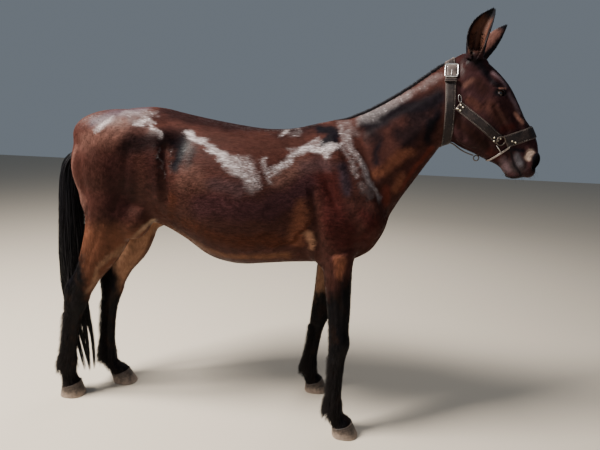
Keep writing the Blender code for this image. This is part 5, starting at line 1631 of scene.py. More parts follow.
def mane_hair(tree, count, seed):
    """The short upright mane, leaning back a little, as single hairs."""
    dice = np.random.default_rng(seed)
    roots = []
    outs = []
    for _ in range(count):
        x = dice.uniform(MANE_START - 0.06, MANE_END + 0.035)
        y = dice.normal(scale=0.0052)
        hit, out = tree.ray_cast(Vector((x, y, 3)), Vector((0, 0, -1)))[:2]
        roots.append(hit)
        outs.append(out)
    roots = np.array(roots)
    outs = np.array(outs)
    share = (roots[:, 0] - MANE_START) / (MANE_END - MANE_START)
    grade = np.clip(0.30 + 3.0 * (share + 0.14), 0.3, 1) * np.clip(0.5 + 5 * (1.08 - share), 0.5, 1)
    long = 0.0135 * grade * dice.uniform(0.6, 1.3, count)
    lean = np.column_stack((dice.uniform(-0.95, -0.55, count), dice.normal(scale=0.16, size=count)
                            + roots[:, 1] * 22, np.ones(count)))
    lean /= np.linalg.norm(lean, axis=1)[:, None]
    along = np.linspace(0, 1, 4)[None, :, None]
    back = np.array((-0.30, 0, -0.10))
    lines = roots[:, None] - outs[:, None] * 0.002 + lean[:, None] * along * long[:, None, None]
    lines = lines + back * (along ** 2) * long[:, None, None]
    side = np.tile(np.array((0, 1.0, 0)), (count, 4, 1))
    widths = np.clip(1 - np.linspace(0, 1, 4)[None] ** 2, 0.2, 1) * dice.uniform(0.0010, 0.0018, count)[:, None]
    piece, each = strands("mane_hair", lines, widths, widths, side, dice.uniform(0, 1, count))
    bake_strands(piece, roots, each)
    return piece


def hair_on(name, tree, starts, ways_in, down, long, width, bend, seed, steps=4, sink=0.002, flare=0.35):
    """Hairs that start where rays meet the skin and hang or stand along a way."""
    dice = np.random.default_rng(seed)
    roots = []
    outs = []
    kept = []
    for index, (start, way) in enumerate(zip(starts, ways_in)):
        hit, out = tree.ray_cast(Vector(start), Vector(way))[:2]
        if hit is not None:
            roots.append(hit)
            outs.append(out)
            kept.append(index)
    down = np.array(down, float)
    down = down[kept] if down.ndim == 2 else down
    roots = np.array(roots)
    outs = np.array(outs)
    count = len(roots)
    lengths = long * dice.uniform(0.7, 1.25, count)
    way = down + outs * flare + dice.normal(scale=0.12, size=(count, 3))
    way /= np.linalg.norm(way, axis=1)[:, None]
    along = np.linspace(0, 1, steps)[None, :, None]
    lines = roots[:, None] - outs[:, None] * sink + way[:, None] * along * lengths[:, None, None]
    lines = lines + np.array(bend, float) * along ** 2 * lengths[:, None, None]
    out = np.repeat(outs[:, None], steps, 1)
    widths = np.clip(1 - np.linspace(0, 1, steps)[None] ** 2, 0.15, 1) * width
    widths = widths * dice.uniform(0.7, 1.3, count)[:, None]
    piece, each = strands(name, lines, widths, widths * 0.6, out, dice.uniform(0, 1, count))
    bake_strands(piece, roots, each)
    return piece


def leg_rows(joints, begin, end, count, dice, spread):
    """Starts and ways in for hairs on the back of a leg, between two places on its line."""
    starts = []
    ways_in = []
    for _ in range(count):
        point = np.array(leg_point(joints, dice.uniform(begin, end))[0])
        turn = dice.normal(scale=spread)
        way = np.array((-math.cos(turn), math.sin(turn), 0))
        starts.append(point + way * 0.15)
        ways_in.append(-way)
    return starts, ways_in


# Longer hair of the legs: name, places on the leg's line, hairs a leg, spread, length, width, way, flare
FEATHERS = (
    ("hock_hair", 1.72, 2.30, 520, 0.75, 0.018, 0.0017, (-0.12, 0, -1), 0.55),
    ("cannon_hair", 2.16, 2.86, 1500, 0.72, 0.030, 0.0018, (-0.15, 0, -1), 0.95),
    ("fetlock_hair", 2.76, 3.12, 1200, 0.85, 0.042, 0.0021, (-0.08, 0, -1), 0.66),
    ("pastern_hair", 3.06, 3.90, 1100, 1.90, 0.022, 0.0018, (0.05, 0, -1), 0.60),
)


def feathers(tree):
    """The shaggy hair behind the hocks and cannons, over the fetlocks and round the pasterns."""
    made = []
    for number, (name, begin, end, count, spread, long, wide, way, flare) in enumerate(FEATHERS):
        dice = np.random.default_rng(700 + number)
        starts = []
        ways_in = []
        for joints in LEGS.values():
            more, inward = leg_rows(joints, begin, end, count, dice, spread)
            starts += more
            ways_in += inward
        made.append(hair_on(name, tree, starts, ways_in, way, long, wide, (0, 0, -0.25), 710 + number, 5,
                            0.002, flare))
    return made


def coronet_fringe(tree):
    """The fringes over the hooves."""
    dice = np.random.default_rng(77)
    starts = []
    ways_in = []
    slope = Matrix.Rotation(math.radians(CORONET_SLOPE), 3, "Y")
    for joints in LEGS.values():
        for _ in range(760):
            turn = dice.uniform(0, 2 * math.pi)
            way = Vector((math.cos(turn), math.sin(turn), 0))
            ring = slope @ Vector((math.cos(turn) * 0.3, math.sin(turn) * 0.3, dice.uniform(0.001, 0.020)))
            starts.append(np.array(Vector(joints[4]) + ring))
            ways_in.append(-np.array(slope @ way))
    return hair_on("coronet_hair", tree, starts, ways_in, (0.15, 0, -1), 0.022, 0.0019, (0, 0, -0.2), 79, 4,
                   0.002, 0.30)


# Leather across its width: place as a share of the width, and height of its upper and lower face as
# shares of its thickness
LEATHER_ROWS = (
    (-0.500, 0.45, 0.30), (-0.475, 0.85, 0.08), (-0.430, 1.00, 0.00), (-0.395, 0.84, 0.00),
    (-0.360, 1.00, 0.00), (-0.180, 1.04, 0.00), (0.000, 1.06, 0.00), (0.180, 1.04, 0.00),
    (0.360, 1.00, 0.00), (0.395, 0.84, 0.00), (0.430, 1.00, 0.00), (0.475, 0.85, 0.08),
    (0.500, 0.45, 0.30),
)
SEAM_ROWS = (3, 9)
STITCH = 0.0052
STITCH_GAP = 0.0026


def smooth_shaded(piece):
    """The piece shaded smooth."""
    data = piece.data
    data.polygons.foreach_set("use_smooth", np.ones(len(data.polygons), bool))
    data.update()
    return piece


def leather(name, columns, thick=LEATHER, closed=False):
    """A strap from columns of (base point, way out, reach) across its width; also its seams."""
    rows = []
    seams = [[], []]
    for spots in zip(*columns):
        low = [base + way * (reach + thick * under) for (base, way, reach), (_, _, under)
               in zip(spots, LEATHER_ROWS)]
        top = [base + way * (reach + thick * over) for (base, way, reach), (_, over, _)
               in zip(spots, LEATHER_ROWS)]
        rows.append(low + top[::-1])
        for seam, index in zip(seams, SEAM_ROWS):
            seam.append((top[index], spots[index][1]))
    return smooth_shaded(strip(name, rows, closed)), seams


def flattened(columns):
    """The columns with each row of reaches drawn straight across, as stiff leather lies."""
    rows = []
    for spots in zip(*columns):
        reach = taut([spot[2] for spot in spots], passes=12)
        rows.append([(base, way, level) for (base, way, _), level in zip(spots, reach)])
    return [list(column) for column in zip(*rows)]


def band(name, tree, pivot, tilt, width, arc=180.0, count=150, thick=LEATHER):
    """A strap round the neck or the head, in a plane through the pivot, whole or over an arc."""
    lean = Matrix.Rotation(math.radians(tilt), 3, "Y")
    along = lean @ Vector((1, 0, 0))
    up = lean @ Vector((0, 0, 1))
    closed = arc >= 180.0
    steps = count if closed else count - 1
    columns = []
    for share, _, _ in LEATHER_ROWS:
        centre = Vector(pivot) + along * share * width
        ways = []
        for index in range(count):
            angle = math.radians(arc) * (2 * index / steps - 1)
            ways.append(up * math.cos(angle) + Vector((0, math.sin(angle), 0)))
        turn = math.radians(arc) * 2 / steps
        reach = taut([reach_on(tree, centre, way) + OFF_SKIN * 0.6 for way in ways], turn, closed, 60)
        columns.append([(centre, way, length) for way, length in zip(ways, reach)])
    return leather(name, flattened(columns), thick, closed)


def laid_strap(name, tree, start, end, across, out, width, count=60, thick=LEATHER):
    """A strap laid on the skin between two points, seen along the way out."""
    start = Vector(start)
    end = Vector(end)
    columns = []
    for share, _, _ in LEATHER_ROWS:
        bases = [start.lerp(end, index / (count - 1)) + across * share * width for index in range(count)]
        reach = taut([reach_on(tree, base, out) + OFF_SKIN * 0.6 for base in bases], passes=40)
        columns.append([(base, out, length) for base, length in zip(bases, reach)])
    return leather(name, flattened(columns), thick)


def hung(piece, seams, start, end, amount):
    """Lets a strap and its seams hang clear of the skin between its ends."""
    def low(point):
        share = min(max((point[0] - start[0]) / (end[0] - start[0]), 0.0), 1.0)
        return Vector((0, 0, -amount * math.sin(math.pi * share * 0.78)))
    for vertex in piece.data.vertices:
        vertex.co = vertex.co + low(vertex.co)
    piece.data.update()
    return [[(Vector(point) + low(point), way) for point, way in seam] for seam in seams]


def stitching(name, seams, closed=()):
    """Short stitches along seams, each a small closed form half sunk in the leather."""
    lines = []
    outs = []
    for seam in seams:
        travelled = 0.0
        spots = [np.array(point) for point, way in seam]
        ways = [np.array(way) for point, way in seam]
        for one, two, way in zip(spots, spots[1:], ways):
            length = np.linalg.norm(two - one)
            while travelled < length:
                begin = one + (two - one) * travelled / length
                finish = begin + (two - one) / length * STITCH
                middle = (begin + finish) / 2 + way * 0.0005
                lines.append((begin, begin * 0.7 + finish * 0.3 + way * 0.0004, middle,
                              begin * 0.3 + finish * 0.7 + way * 0.0004, finish))
                outs.append([way] * 5)
                travelled += STITCH + STITCH_GAP
            travelled -= length
    lines = np.array(lines)
    outs = np.array(outs)
    widths = np.tile(np.array((0.0005, 0.0010, 0.0011, 0.0010, 0.0005)), (len(lines), 1))
    shades = np.random.default_rng(9).uniform(0, 1, len(lines))
    return strands(name, lines, widths, widths * 0.9, outs, shades, 5)[0]


def loop(name, centre, across, along, thick, full=2.0, around=96, count=16, flat=1.0):
    """A round or, where it is fuller, four-sided ring; its half sizes are the lengths of the ways."""
    normal = across.cross(along).normalized()
    rows = []
    for index in range(around):
        angle = 2 * math.pi * (index + 0.5) / around
        way = across * power(math.cos(angle), 2 / full) + along * power(math.sin(angle), 2 / full)
        out = way.normalized()
        row = []
        for step in range(count):
            turn = 2 * math.pi * step / count
            row.append(centre + way + out * math.cos(turn) * thick + normal * math.sin(turn) * thick * flat)
        rows.append(row)
    return smooth_shaded(strip(name, rows, closed=True))


def lie_on(tree, place, side, half_width, half_height, lift):
    """A middle and two ways for something that lies flat on one side of the head or neck."""
    out = Vector((0, side, 0))
    place = Vector(place)

    def spot(x, z):
        base = place + Vector((x, 0, z))
        return base + out * reach_on(tree, base, out)

    across = (spot(half_width, 0) - spot(-half_width, 0)).normalized()
    along = (spot(0, half_height) - spot(0, -half_height)).normalized()
    along = (along - across * along.dot(across)).normalized()
    normal = across.cross(along).normalized()
    if normal.y * side < 0:
        normal = -normal
    centre = (spot(half_width, 0) + spot(-half_width, 0) + spot(0, half_height) + spot(0, -half_height)) / 4
    return centre + normal * lift, across, along, normal


def rod(name, points, radius, count=12):
    """A round bar along points."""
    points = [Vector(point) for point in points]
    rows = []
    for index, point in enumerate(points):
        run = (points[min(index + 1, len(points) - 1)] - points[max(index - 1, 0)]).normalized()
        side = run.cross(Vector((0.13, 0.41, 0.90))).normalized()
        rise = side.cross(run)
        turns = [2 * math.pi * step / count for step in range(count)]
        rows.append([point + (side * math.cos(turn) + rise * math.sin(turn)) * radius for turn in turns])
    return smooth_shaded(loft(name, rows))


def rivet(name, centre, normal, radius):
    """A domed rivet on a washer."""
    side = normal.cross(Vector((0.3, 0.1, 0.95))).normalized()
    rise = normal.cross(side)
    rings = []
    for reach, high in ((1.0, -0.6), (1.0, 0.15), (0.86, 0.30), (0.70, 0.34), (0.64, 0.42), (0.58, 0.66),
                        (0.40, 0.84), (0.16, 0.92)):
        turns = [2 * math.pi * step / 28 for step in range(28)]
        rings.append([centre + (side * math.cos(turn) + rise * math.sin(turn)) * radius * reach
                      + normal * radius * high for turn in turns])
    return smooth_shaded(loft(name, rings))


def leather_material(name, dark, light, worn, scale=1.0):
    """Old leather: mottled, grained, cracked and paler where it is rubbed."""
    stuff, tree, shader = material(name, 0.55, Specular_IOR_Level=0.24)
    where = add_node(tree, "TexCoord").outputs["Object"]
    cloudy = noise_at(tree, where, 28.0 * scale, 4.0, 0.6)
    grain = add_node(tree, "TexVoronoi", {"Vector": where, "Scale": 900.0 * scale}).outputs["Distance"]
    cracks = noise_at(tree, stretched(tree, where, 30, (1, 1, 0.25)), 300.0 * scale, 3.0, 0.7)
    rub = add_node(tree, "NewGeometry").outputs["Pointiness"]
    colour = mixed(tree, eased(tree, cloudy, 0.35, 0.68), dark + (1,), light + (1,))
    colour = mixed(tree, maths(tree, "MULTIPLY", eased(tree, cracks, 0.55, 0.75), 0.5), colour, worn + (1,))
    colour = mixed(tree, maths(tree, "MULTIPLY", eased(tree, rub, 0.515, 0.56), 0.75), colour, worn + (1,))
    tree.links.new(colour, shader.inputs["Base Color"])
    tree.links.new(eased(tree, cloudy, 0.3, 0.7, 0.42, 0.74), shader.inputs["Roughness"])
    height = maths(tree, "ADD", maths(tree, "MULTIPLY", grain, 0.5), cracks)
    bumped(tree, shader, height, 0.0008, 0.6)
    return stuff


def metal_material(name, bright, dull, roughness):
    """Worn metal, scratched and tarnished in cloudy patches."""
    stuff, tree, shader = material(name, roughness, Metallic=1.0)
    where = add_node(tree, "TexCoord").outputs["Object"]
    cloudy = noise_at(tree, where, 120.0, 4.0, 0.65)
    fine = noise_at(tree, stretched(tree, where, 40, (1, 1, 0.1)), 1600.0, 2.0)
    colour = mixed(tree, eased(tree, cloudy, 0.42, 0.72), bright + (1,), dull + (1,))
    tree.links.new(colour, shader.inputs["Base Color"])
    rough = maths(tree, "ADD", eased(tree, cloudy, 0.35, 0.7, roughness, roughness + 0.25),
                  maths(tree, "MULTIPLY", fine, 0.08))
    tree.links.new(rough, shader.inputs["Roughness"])
    bumped(tree, shader, maths(tree, "ADD", fine, maths(tree, "MULTIPLY", cloudy, 2.0)), 0.0003, 0.4)
    return stuff


def eye_piece(side, word):
    """An eyeball, with its colours laid round the way it looks."""
    centre, along, across, out = eye_frame(side)
    mesh = bmesh.new()
    bmesh.ops.create_uvsphere(mesh, u_segments=96, v_segments=64, radius=EYE_RADIUS)
    turn = Matrix((along, across, out)).transposed()
    if turn.determinant() < 0:
        turn = Matrix((-along, across, out)).transposed()
    mesh.transform(Matrix.Translation(centre) @ turn.to_4x4())
    piece = smooth_shaded(mesh_object(f"eyeball_{word}", mesh))
    offset = (places(piece) - np.array(centre)) / EYE_RADIUS
    level = offset @ np.array(along)
    high = offset @ np.array(across)
    ahead = offset @ np.array(out)
    iris = np.sqrt(level ** 2 + high ** 2)
    spokes = np.sin(np.arctan2(high, level) * 37) * 0.5 + 0.5
    colour = np.tile(np.array((0.10, 0.075, 0.065)), (len(offset), 1))
    colour = toward(colour, (0.020, 0.009, 0.005), ramp(iris, 0.80, 0.70))
    brown = np.array((0.030, 0.013, 0.006)) + np.outer(spokes, (0.014, 0.006, 0.002))
    share = ramp(iris, 0.70, 0.60)[:, None]
    colour = colour + (brown - colour) * share
    colour = toward(colour, (0.0015, 0.0015, 0.0025), ramp(np.sqrt((level / 0.44) ** 2 + (high / 0.22) ** 2),
                                                           1.1, 0.9))
    colour = toward(colour, (0.05, 0.03, 0.03), ramp(ahead, 0.15, -0.05))
    add_colours(piece.data, "eye", colour)
    return piece


def eye_material():
    """A wet dark eye."""
    stuff, tree, shader = material("eye", 0.12, Coat_Weight=1.0, Coat_Roughness=0.02, Specular_IOR_Level=0.6)
    colour = add_node(tree, "Attribute", attribute_name="eye").outputs["Color"]
    where = add_node(tree, "TexCoord").outputs["Object"]
    tone = eased(tree, noise_at(tree, where, 900.0, 3.0), 0.3, 0.7, 0.75, 1.2)
    tree.links.new(mixed(tree, 1.0, colour, grey(tree, tone), "MULTIPLY"), shader.inputs["Base Color"])
    return stuff


def hoof(name, coronet, sole):
    """A hoof from its sloping coronet to its flat sole, with the rings that its growth leaves."""
    coronet = Vector(coronet)
    sole = Vector(sole)
    turn = Matrix.Rotation(math.radians(CORONET_SLOPE), 3, "Y")
    slope = turn @ Vector((1, 0, 0))
    low = coronet - (turn @ Vector((0, 0, 1))) * GAP
    forward = Vector((1, 0, 0))
    edge = Vector((0, 0, SOLE_EDGE))
    outline = ((sole, forward, SOLE_FRONT - SOLE_EDGE, SOLE_BACK - SOLE_EDGE, SOLE_HALF_WIDTH - SOLE_EDGE),
               (sole + edge * 0.4, forward, SOLE_FRONT - 0.0008, SOLE_BACK - 0.0008, SOLE_HALF_WIDTH - 0.0008),
               (sole + edge, forward, SOLE_FRONT, SOLE_BACK, SOLE_HALF_WIDTH),
               (low, slope, HOOF_TOP_FRONT, HOOF_TOP_BACK, HOOF_TOP_HALF_WIDTH))
    ends = []
    for centre, way, front, back, wide in outline:
        ends.append(section(centre + way * front, centre - way * back, wide, 0.5, 2.2, 2.8, 96))
    dice = random.Random(len(name))
    rings = [ends[0], ends[1]]
    rows = 34
    for index in range(rows + 1):
        share = index / rows
        swell = 0.0009 * math.sin(share * 46 + dice.uniform(-0.5, 0.5)) * (1 - share * 0.5)
        swell += 0.0012 * max(0.0, (share - 0.90) / 0.10)
        ring = []
        for step, (a, b) in enumerate(zip(ends[2], ends[3])):
            out = (a - sole) * Vector((1, 1, 0))
            wobble = 0.6 + 0.4 * math.sin(step * 0.39 + share * 3)
            ring.append(a.lerp(b, share) + out.normalized() * swell * wobble * (0 if index == 0 else 1))
        rings.append(ring)
    top = rings[-1]
    middle = sum(top, Vector()) / len(top)
    for inward, drop_by in ((0.06, 0.0), (0.16, -0.0012)):
        rings.append([point.lerp(middle, inward) + Vector((0, 0, drop_by)) for point in top])
    piece = smooth_shaded(loft(name, rings))
    points = places(piece)
    height = points[:, 2] / 0.075
    ahead = (points[:, 0] - sole.x) / SOLE_FRONT
    add_numbers(piece.data, "height", height)
    add_numbers(piece.data, "ahead", ahead)
    return piece


def hoof_material():
    """Dusty horn: banded across, streaked down and paler at the ground."""
    stuff, tree, shader = material("hoof", 0.6, Specular_IOR_Level=0.35)
    where = add_node(tree, "TexCoord").outputs["Object"]
    height = add_node(tree, "Attribute", attribute_name="height").outputs["Fac"]
    bands = noise_at(tree, stretched(tree, where, 15, (0.10, 0.10, 1)), 260.0, 3.0)
    streaks = noise_at(tree, stretched(tree, where, 15, (1, 1, 0.08)), 380.0, 3.0)
    cloudy = noise_at(tree, where, 36.0, 4.0, 0.65)
    horn = mixed(tree, eased(tree, bands, 0.35, 0.65), (0.020, 0.014, 0.012, 1), (0.056, 0.039, 0.031, 1))
    horn = mixed(tree, maths(tree, "MULTIPLY", eased(tree, streaks, 0.45, 0.7), 0.5), horn,
                 (0.085, 0.062, 0.050, 1))
    low = maths(tree, "SUBTRACT", 0.85, maths(tree, "MULTIPLY", height, 0.8))
    dust = eased(tree, maths(tree, "ADD", low, maths(tree, "MULTIPLY", cloudy, 0.9)), 0.75, 1.35)
    horn = mixed(tree, maths(tree, "MULTIPLY", dust, 0.85), horn, (0.330, 0.250, 0.195, 1))
    tree.links.new(horn, shader.inputs["Base Color"])
    tree.links.new(eased(tree, dust, 0.0, 1.0, 0.45, 0.9), shader.inputs["Roughness"])
    total = maths(tree, "ADD", maths(tree, "MULTIPLY", bands, 1.6), maths(tree, "MULTIPLY", streaks, 0.8))
    bumped(tree, shader, total, 0.0012, 0.7)
    return stuff


def on_side(tree, x, z, side):
    """The place and the way out of a surface on one side of the head, at x and z."""
    out = Vector((0, side, 0))
    hit, normal = tree.ray_cast(Vector((x, 0, z)) + out * 0.5, -out)[:2]
    return hit, normal


def joined_as(name, pieces):
    """One smooth shaded object of several pieces."""
    return smooth_shaded(joined(name, pieces))


# Fittings of the halter, as x and z on both sides
STRAP_RIVETS = ((1.100, 1.547), (1.122, 1.553), (1.112, 1.562), (1.112, 1.540), (1.266, 1.432), (1.283, 1.420),
                (1.268, 1.418), (1.295, 1.429))
NOSE_RIVETS = ((1.346, 1.420), (1.361, 1.415))
STRAP_TOP = (1.101, 0, 1.561)
WIRE_LOOP = (1.102, 0, 1.588)
LINK = ((1.283, 1.400), (1.296, 1.386), (1.308, 1.372))


JAW_HANG = 0.009


def halter():
    """The halter's straps with their seams, and its rings, links, rivets and buckle."""
    dark = leather_material("halter_leather", (0.0075, 0.0050, 0.0052), (0.019, 0.012, 0.011),
                            (0.105, 0.080, 0.070))
    pale = leather_material("halter_pale_leather", (0.22, 0.18, 0.16), (0.42, 0.36, 0.33), (0.55, 0.50, 0.46), 2.0)
    worn = leather_material("halter_worn_leather", (0.040, 0.030, 0.028), (0.085, 0.068, 0.062), (0.16, 0.13, 0.12))
    thread = hair_material("halter_thread", (0.16, 0.13, 0.11), (0.34, 0.29, 0.26), 0.8)
    silver = metal_material("buckle_metal", (0.86, 0.84, 0.80), (0.42, 0.40, 0.38), 0.20)
    brass = metal_material("fitting_metal", (0.72, 0.66, 0.52), (0.30, 0.25, 0.18), 0.28)
    tarnish = metal_material("tarnished_metal", (0.16, 0.13, 0.11), (0.045, 0.036, 0.032), 0.42)
    skin_tree = TREE
    made = []
    neck_band, seams = band("halter_band", skin_tree, BAND_PIVOT, BAND_TILT, BAND_WIDTH)
    made.append((neck_band, dark, "strap", ("halter_neck_band",)))
    all_seams = [seam + seam[:1] for seam in seams]
    nose_band, seams = band("halter_noseband", skin_tree, NOSE_PIVOT, NOSE_TILT, NOSE_WIDTH, NOSE_ARC, 130)
    made.append((nose_band, dark, "strap", ("halter_nose_band",)))
    all_seams += seams
    chin, _ = band("halter_chin", surface_of(skin, nose_band), CHIN_PIVOT, CHIN_TILT, CHIN_WIDTH, CHIN_ARC, 90, 0.0034)
    made.append((chin, pale, "pale_strap", ("halter_chin_strap",)))
    down = Vector((-0.35, 0, -0.94))
    jaw, seams = laid_strap("halter_jaw", skin_tree, JAW_START, JAW_END, Vector((0, 1, 0)), down, JAW_WIDTH)
    seams = hung(jaw, seams, JAW_START, JAW_END, JAW_HANG)
    made.append((jaw, dark, "strap", ("halter_jaw_strap",)))
    all_seams += seams
    run = (Vector(CHEEK_END) - Vector(CHEEK_START)).normalized()
    across = Vector((-run.z, 0, run.x))
    rivets = []
    links = []
    nose_tree = surface_of(nose_band)
    for side, word in ((RIGHT, "right"), (LEFT, "left")):
        out = Vector((0, side, 0))
        cheek, seams = laid_strap(f"halter_cheek_{word}", skin_tree, STRAP_TOP, CHEEK_END, across, out, CHEEK_WIDTH)
        made.append((cheek, dark, "strap", (f"halter_cheek_strap_{word}",)))
        all_seams += seams
        centre, flat, high, normal = lie_on(skin_tree, CHEEK_RING, side, CHEEK_RING_RADIUS, CHEEK_RING_RADIUS,
                                            0.0085)
        circle = loop(f"halter_ring_{word}", centre, flat * CHEEK_RING_RADIUS, high * CHEEK_RING_RADIUS,
                      RING_THICKNESS)
        made.append((circle, tarnish, "fitting", (f"halter_cheek_ring_{word}",)))
        cheek_tree = surface_of(cheek)
        for tree, spots in ((cheek_tree, STRAP_RIVETS), (nose_tree, NOSE_RIVETS)):
            for x, z in spots:
                hit, normal = on_side(tree, x, z, side)
                if hit is not None:
                    rivets.append(rivet("rivet", hit, normal, 0.0042))
        points = []
        for x, z in LINK:
            hit, normal = on_side(skin_tree, x, z, side)
            points.append(hit + normal * 0.0060)
        links.append(rod("link", points, 0.0017))
        centre, flat, high, normal = lie_on(skin_tree, WIRE_LOOP, side, 0.004, 0.012, 0.0080)
        links.append(loop("wire", centre, flat * 0.0060 + high * 0.0030, high * 0.0150 - flat * 0.0040, 0.0009, 2.0,
                          48, 10))
    made.append((joined_as("halter_rivets", rivets), brass, "fitting", ()))
    made.append((joined_as("halter_links", links), silver, "fitting", ()))
    under = surface_of(skin, jaw).ray_cast(Vector((JAW_RING_X, 0, 1.0)), Vector((0, 0, 1)))[0]
    centre = under - Vector((0, 0, JAW_RING_RADIUS + RING_THICKNESS + 0.002))
    under_ring = loop("halter_ring_under", centre, Vector((JAW_RING_RADIUS, 0, 0)), Vector((0, 0, JAW_RING_RADIUS)),
                      RING_THICKNESS)
    made.append((under_ring, tarnish, "fitting", ("halter_jaw_ring",)))
    made += buckle(surface_of(skin, neck_band), silver, dark, worn)
    made.append((stitching("halter_stitches", all_seams), thread, "strap", ()))
    return made


def buckle(tree, silver, dark, worn):
    """The square buckle on the right side of the neck band, its tongue, and the keeper below it."""
    centre, flat, high, normal = lie_on(tree, BUCKLE, RIGHT, BUCKLE_HALF_WIDTH * 0.7, BUCKLE_HALF_HEIGHT, 0.0048)
    if flat.x < 0:
        flat = -flat
    if high.z < 0:
        high = -high
    frame_ring = loop("frame", centre, flat * BUCKLE_HALF_WIDTH, high * BUCKLE_HALF_HEIGHT, BUCKLE_BAR, 7.0, 128,
                      16, 0.75)
    bar = rod("bar", [centre + flat * (x * BUCKLE_HALF_WIDTH) + high * BUCKLE_HALF_HEIGHT * 0.62 - normal * 0.0030
                      for x in (-1, -0.5, 0, 0.5, 1)], 0.0019)
    tongue = rod("tongue", [centre + high * (y * BUCKLE_HALF_HEIGHT) + normal * lift for y, lift in
                            ((0.62, -0.0010), (0.2, 0.0006), (-0.5, 0.0026), (-1.0, 0.0034))], 0.0011)
    metal = joined_as("halter_buckle_frame", [frame_ring, bar, tongue])
    inside = [centre + flat * (x * BAND_WIDTH * 0.47) + high * (y * BUCKLE_HALF_HEIGHT * 0.86) for y in (-1, 1)
              for x in (-1, 1)]
    tab = smooth_shaded(strip("halter_tab", tab_rows(inside, normal)))
    low = centre - high * (BUCKLE_HALF_HEIGHT + 0.017) - normal * 0.0016
    keeper = loop("halter_keeper", low, flat * (BAND_WIDTH / 2 + 0.0030), normal * 0.0062, 0.0014, 6.0, 96, 12, 4.6)
    return [(metal, silver, "buckle", ("halter_buckle",)), (keeper, dark, "strap", ()), (tab, worn, "strap", ())]


def tab_rows(corners, normal):
    """The rows of a thin tab of leather between four corners, rounded at its edges."""
    left, right, high_left, high_right = corners
    rows = []
    for up, swell in ((0.0, 0.2), (0.04, 0.8), (0.2, 1.0), (0.5, 1.1), (0.8, 1.0), (0.96, 0.8), (1.0, 0.2)):
        one = left.lerp(high_left, up)
        two = right.lerp(high_right, up)
        top = [one.lerp(two, share) + normal * (0.0016 * swell * over) for share, over in
               ((0.0, 0.1), (0.05, 0.8), (0.3, 1.0), (0.7, 1.0), (0.95, 0.8), (1.0, 0.1))]
        low = [one.lerp(two, share) - normal * 0.0030 for share in (1.0, 0.5, 0.0)]
        rows.append(top + low)
    return rows


def face_hair():
    """Lashes, feelers of the muzzle, and the hair in the ears."""
    dice = np.random.default_rng(404)
    starts = []
    ways_in = []
    for side in (RIGHT, LEFT):
        centre, along, across, out = [np.array(way) for way in eye_frame(side)]
        for _ in range(70):
            turn = dice.uniform(0.25, 2.7)
            edge = along * math.cos(turn) * SLIT_HALF_LENGTH * 0.98
            edge = edge + across * (math.sin(turn) ** 1.3 * SLIT_UPPER + 0.0022)
            starts.append(centre + edge + out * 0.05)
            ways_in.append(-out)
    lashes = hair_on("lashes", TREE, starts, ways_in, (0.1, 0, -0.35), 0.011, 0.0007, (0, 0, 0.25), 405, 5, 0.001, 1.2)
    starts = []
    ways_in = []
    for _ in range(120):
        side = dice.choice((-1.0, 1.0))
        x = dice.uniform(1.36, 1.47)
        z = 1.262 + dice.uniform(0.0, 0.085) * dice.uniform(0.3, 1.0)
        starts.append((x, 0.2 * side, z))
        ways_in.append((0, -side, 0))
    feelers = hair_on("feelers", TREE, starts, ways_in, (0.2, 0, -0.6), 0.022, 0.0007, (0, 0, -0.3), 406, 5, 0.001, 1.0)
    starts = []
    ways_in = []
    ways = []
    for joints in EARS.values():
        for _ in range(200):
            share = dice.uniform(0.04, 0.45)
            centre, run, across, face = [np.array(way) for way in ear_spot(joints, share)]
            swing = dice.choice((-1, 1)) * dice.uniform(0.30, 1.0) * 0.030
            starts.append(centre + face * 0.08 + across * swing)
            ways_in.append(-face)
            ways.append(run * 1.0 + face * 0.15 - across * np.sign(swing) * 0.7)
    inner = hair_on("ear_hair", TREE, starts, ways_in, ways, 0.015, 0.0011, (0, 0, 0), 407, 4, 0.001, 0.25)
    return lashes, feelers, inner


def to_frame(*pieces):
    """Moves pieces from the design's coordinates onto the frame, riding on its body."""
    low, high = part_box("eye_right")
    shift = (low + high) / 2 - Vector((EYE[0], -EYE[1], EYE[2]))
    for piece in pieces:
        piece.data.transform(Matrix.Translation(shift))
        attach(piece, "root")
    return shift


def camera(shift):
    """The camera at the photograph's place, level turned a little down and to the side."""
    place = Vector((0.645, -2.117, 1.44)) + shift
    pitch = math.radians(12.13)
    roll = math.radians(2.29)
    level = Vector((0.9953, 0.0973, 0.0)).normalized()
    ahead = Vector((-level.y, level.x, 0.0)) * math.cos(pitch) - Vector((0, 0, 1)) * math.sin(pitch)
    above = level.cross(ahead).normalized()
    right = level * math.cos(roll) + above * math.sin(roll)
    up = above * math.cos(roll) - level * math.sin(roll)
    data = bpy.data.cameras.new("camera")
    data.lens = 27.06
    data.sensor_width = 36.0
    eye = bpy.data.objects.new("camera", data)
    turn = Matrix((right, up, -ahead)).transposed().to_4x4()
    eye.matrix_world = Matrix.Translation(place) @ turn
    bpy.context.scene.collection.objects.link(eye)
    bpy.context.scene.camera = eye


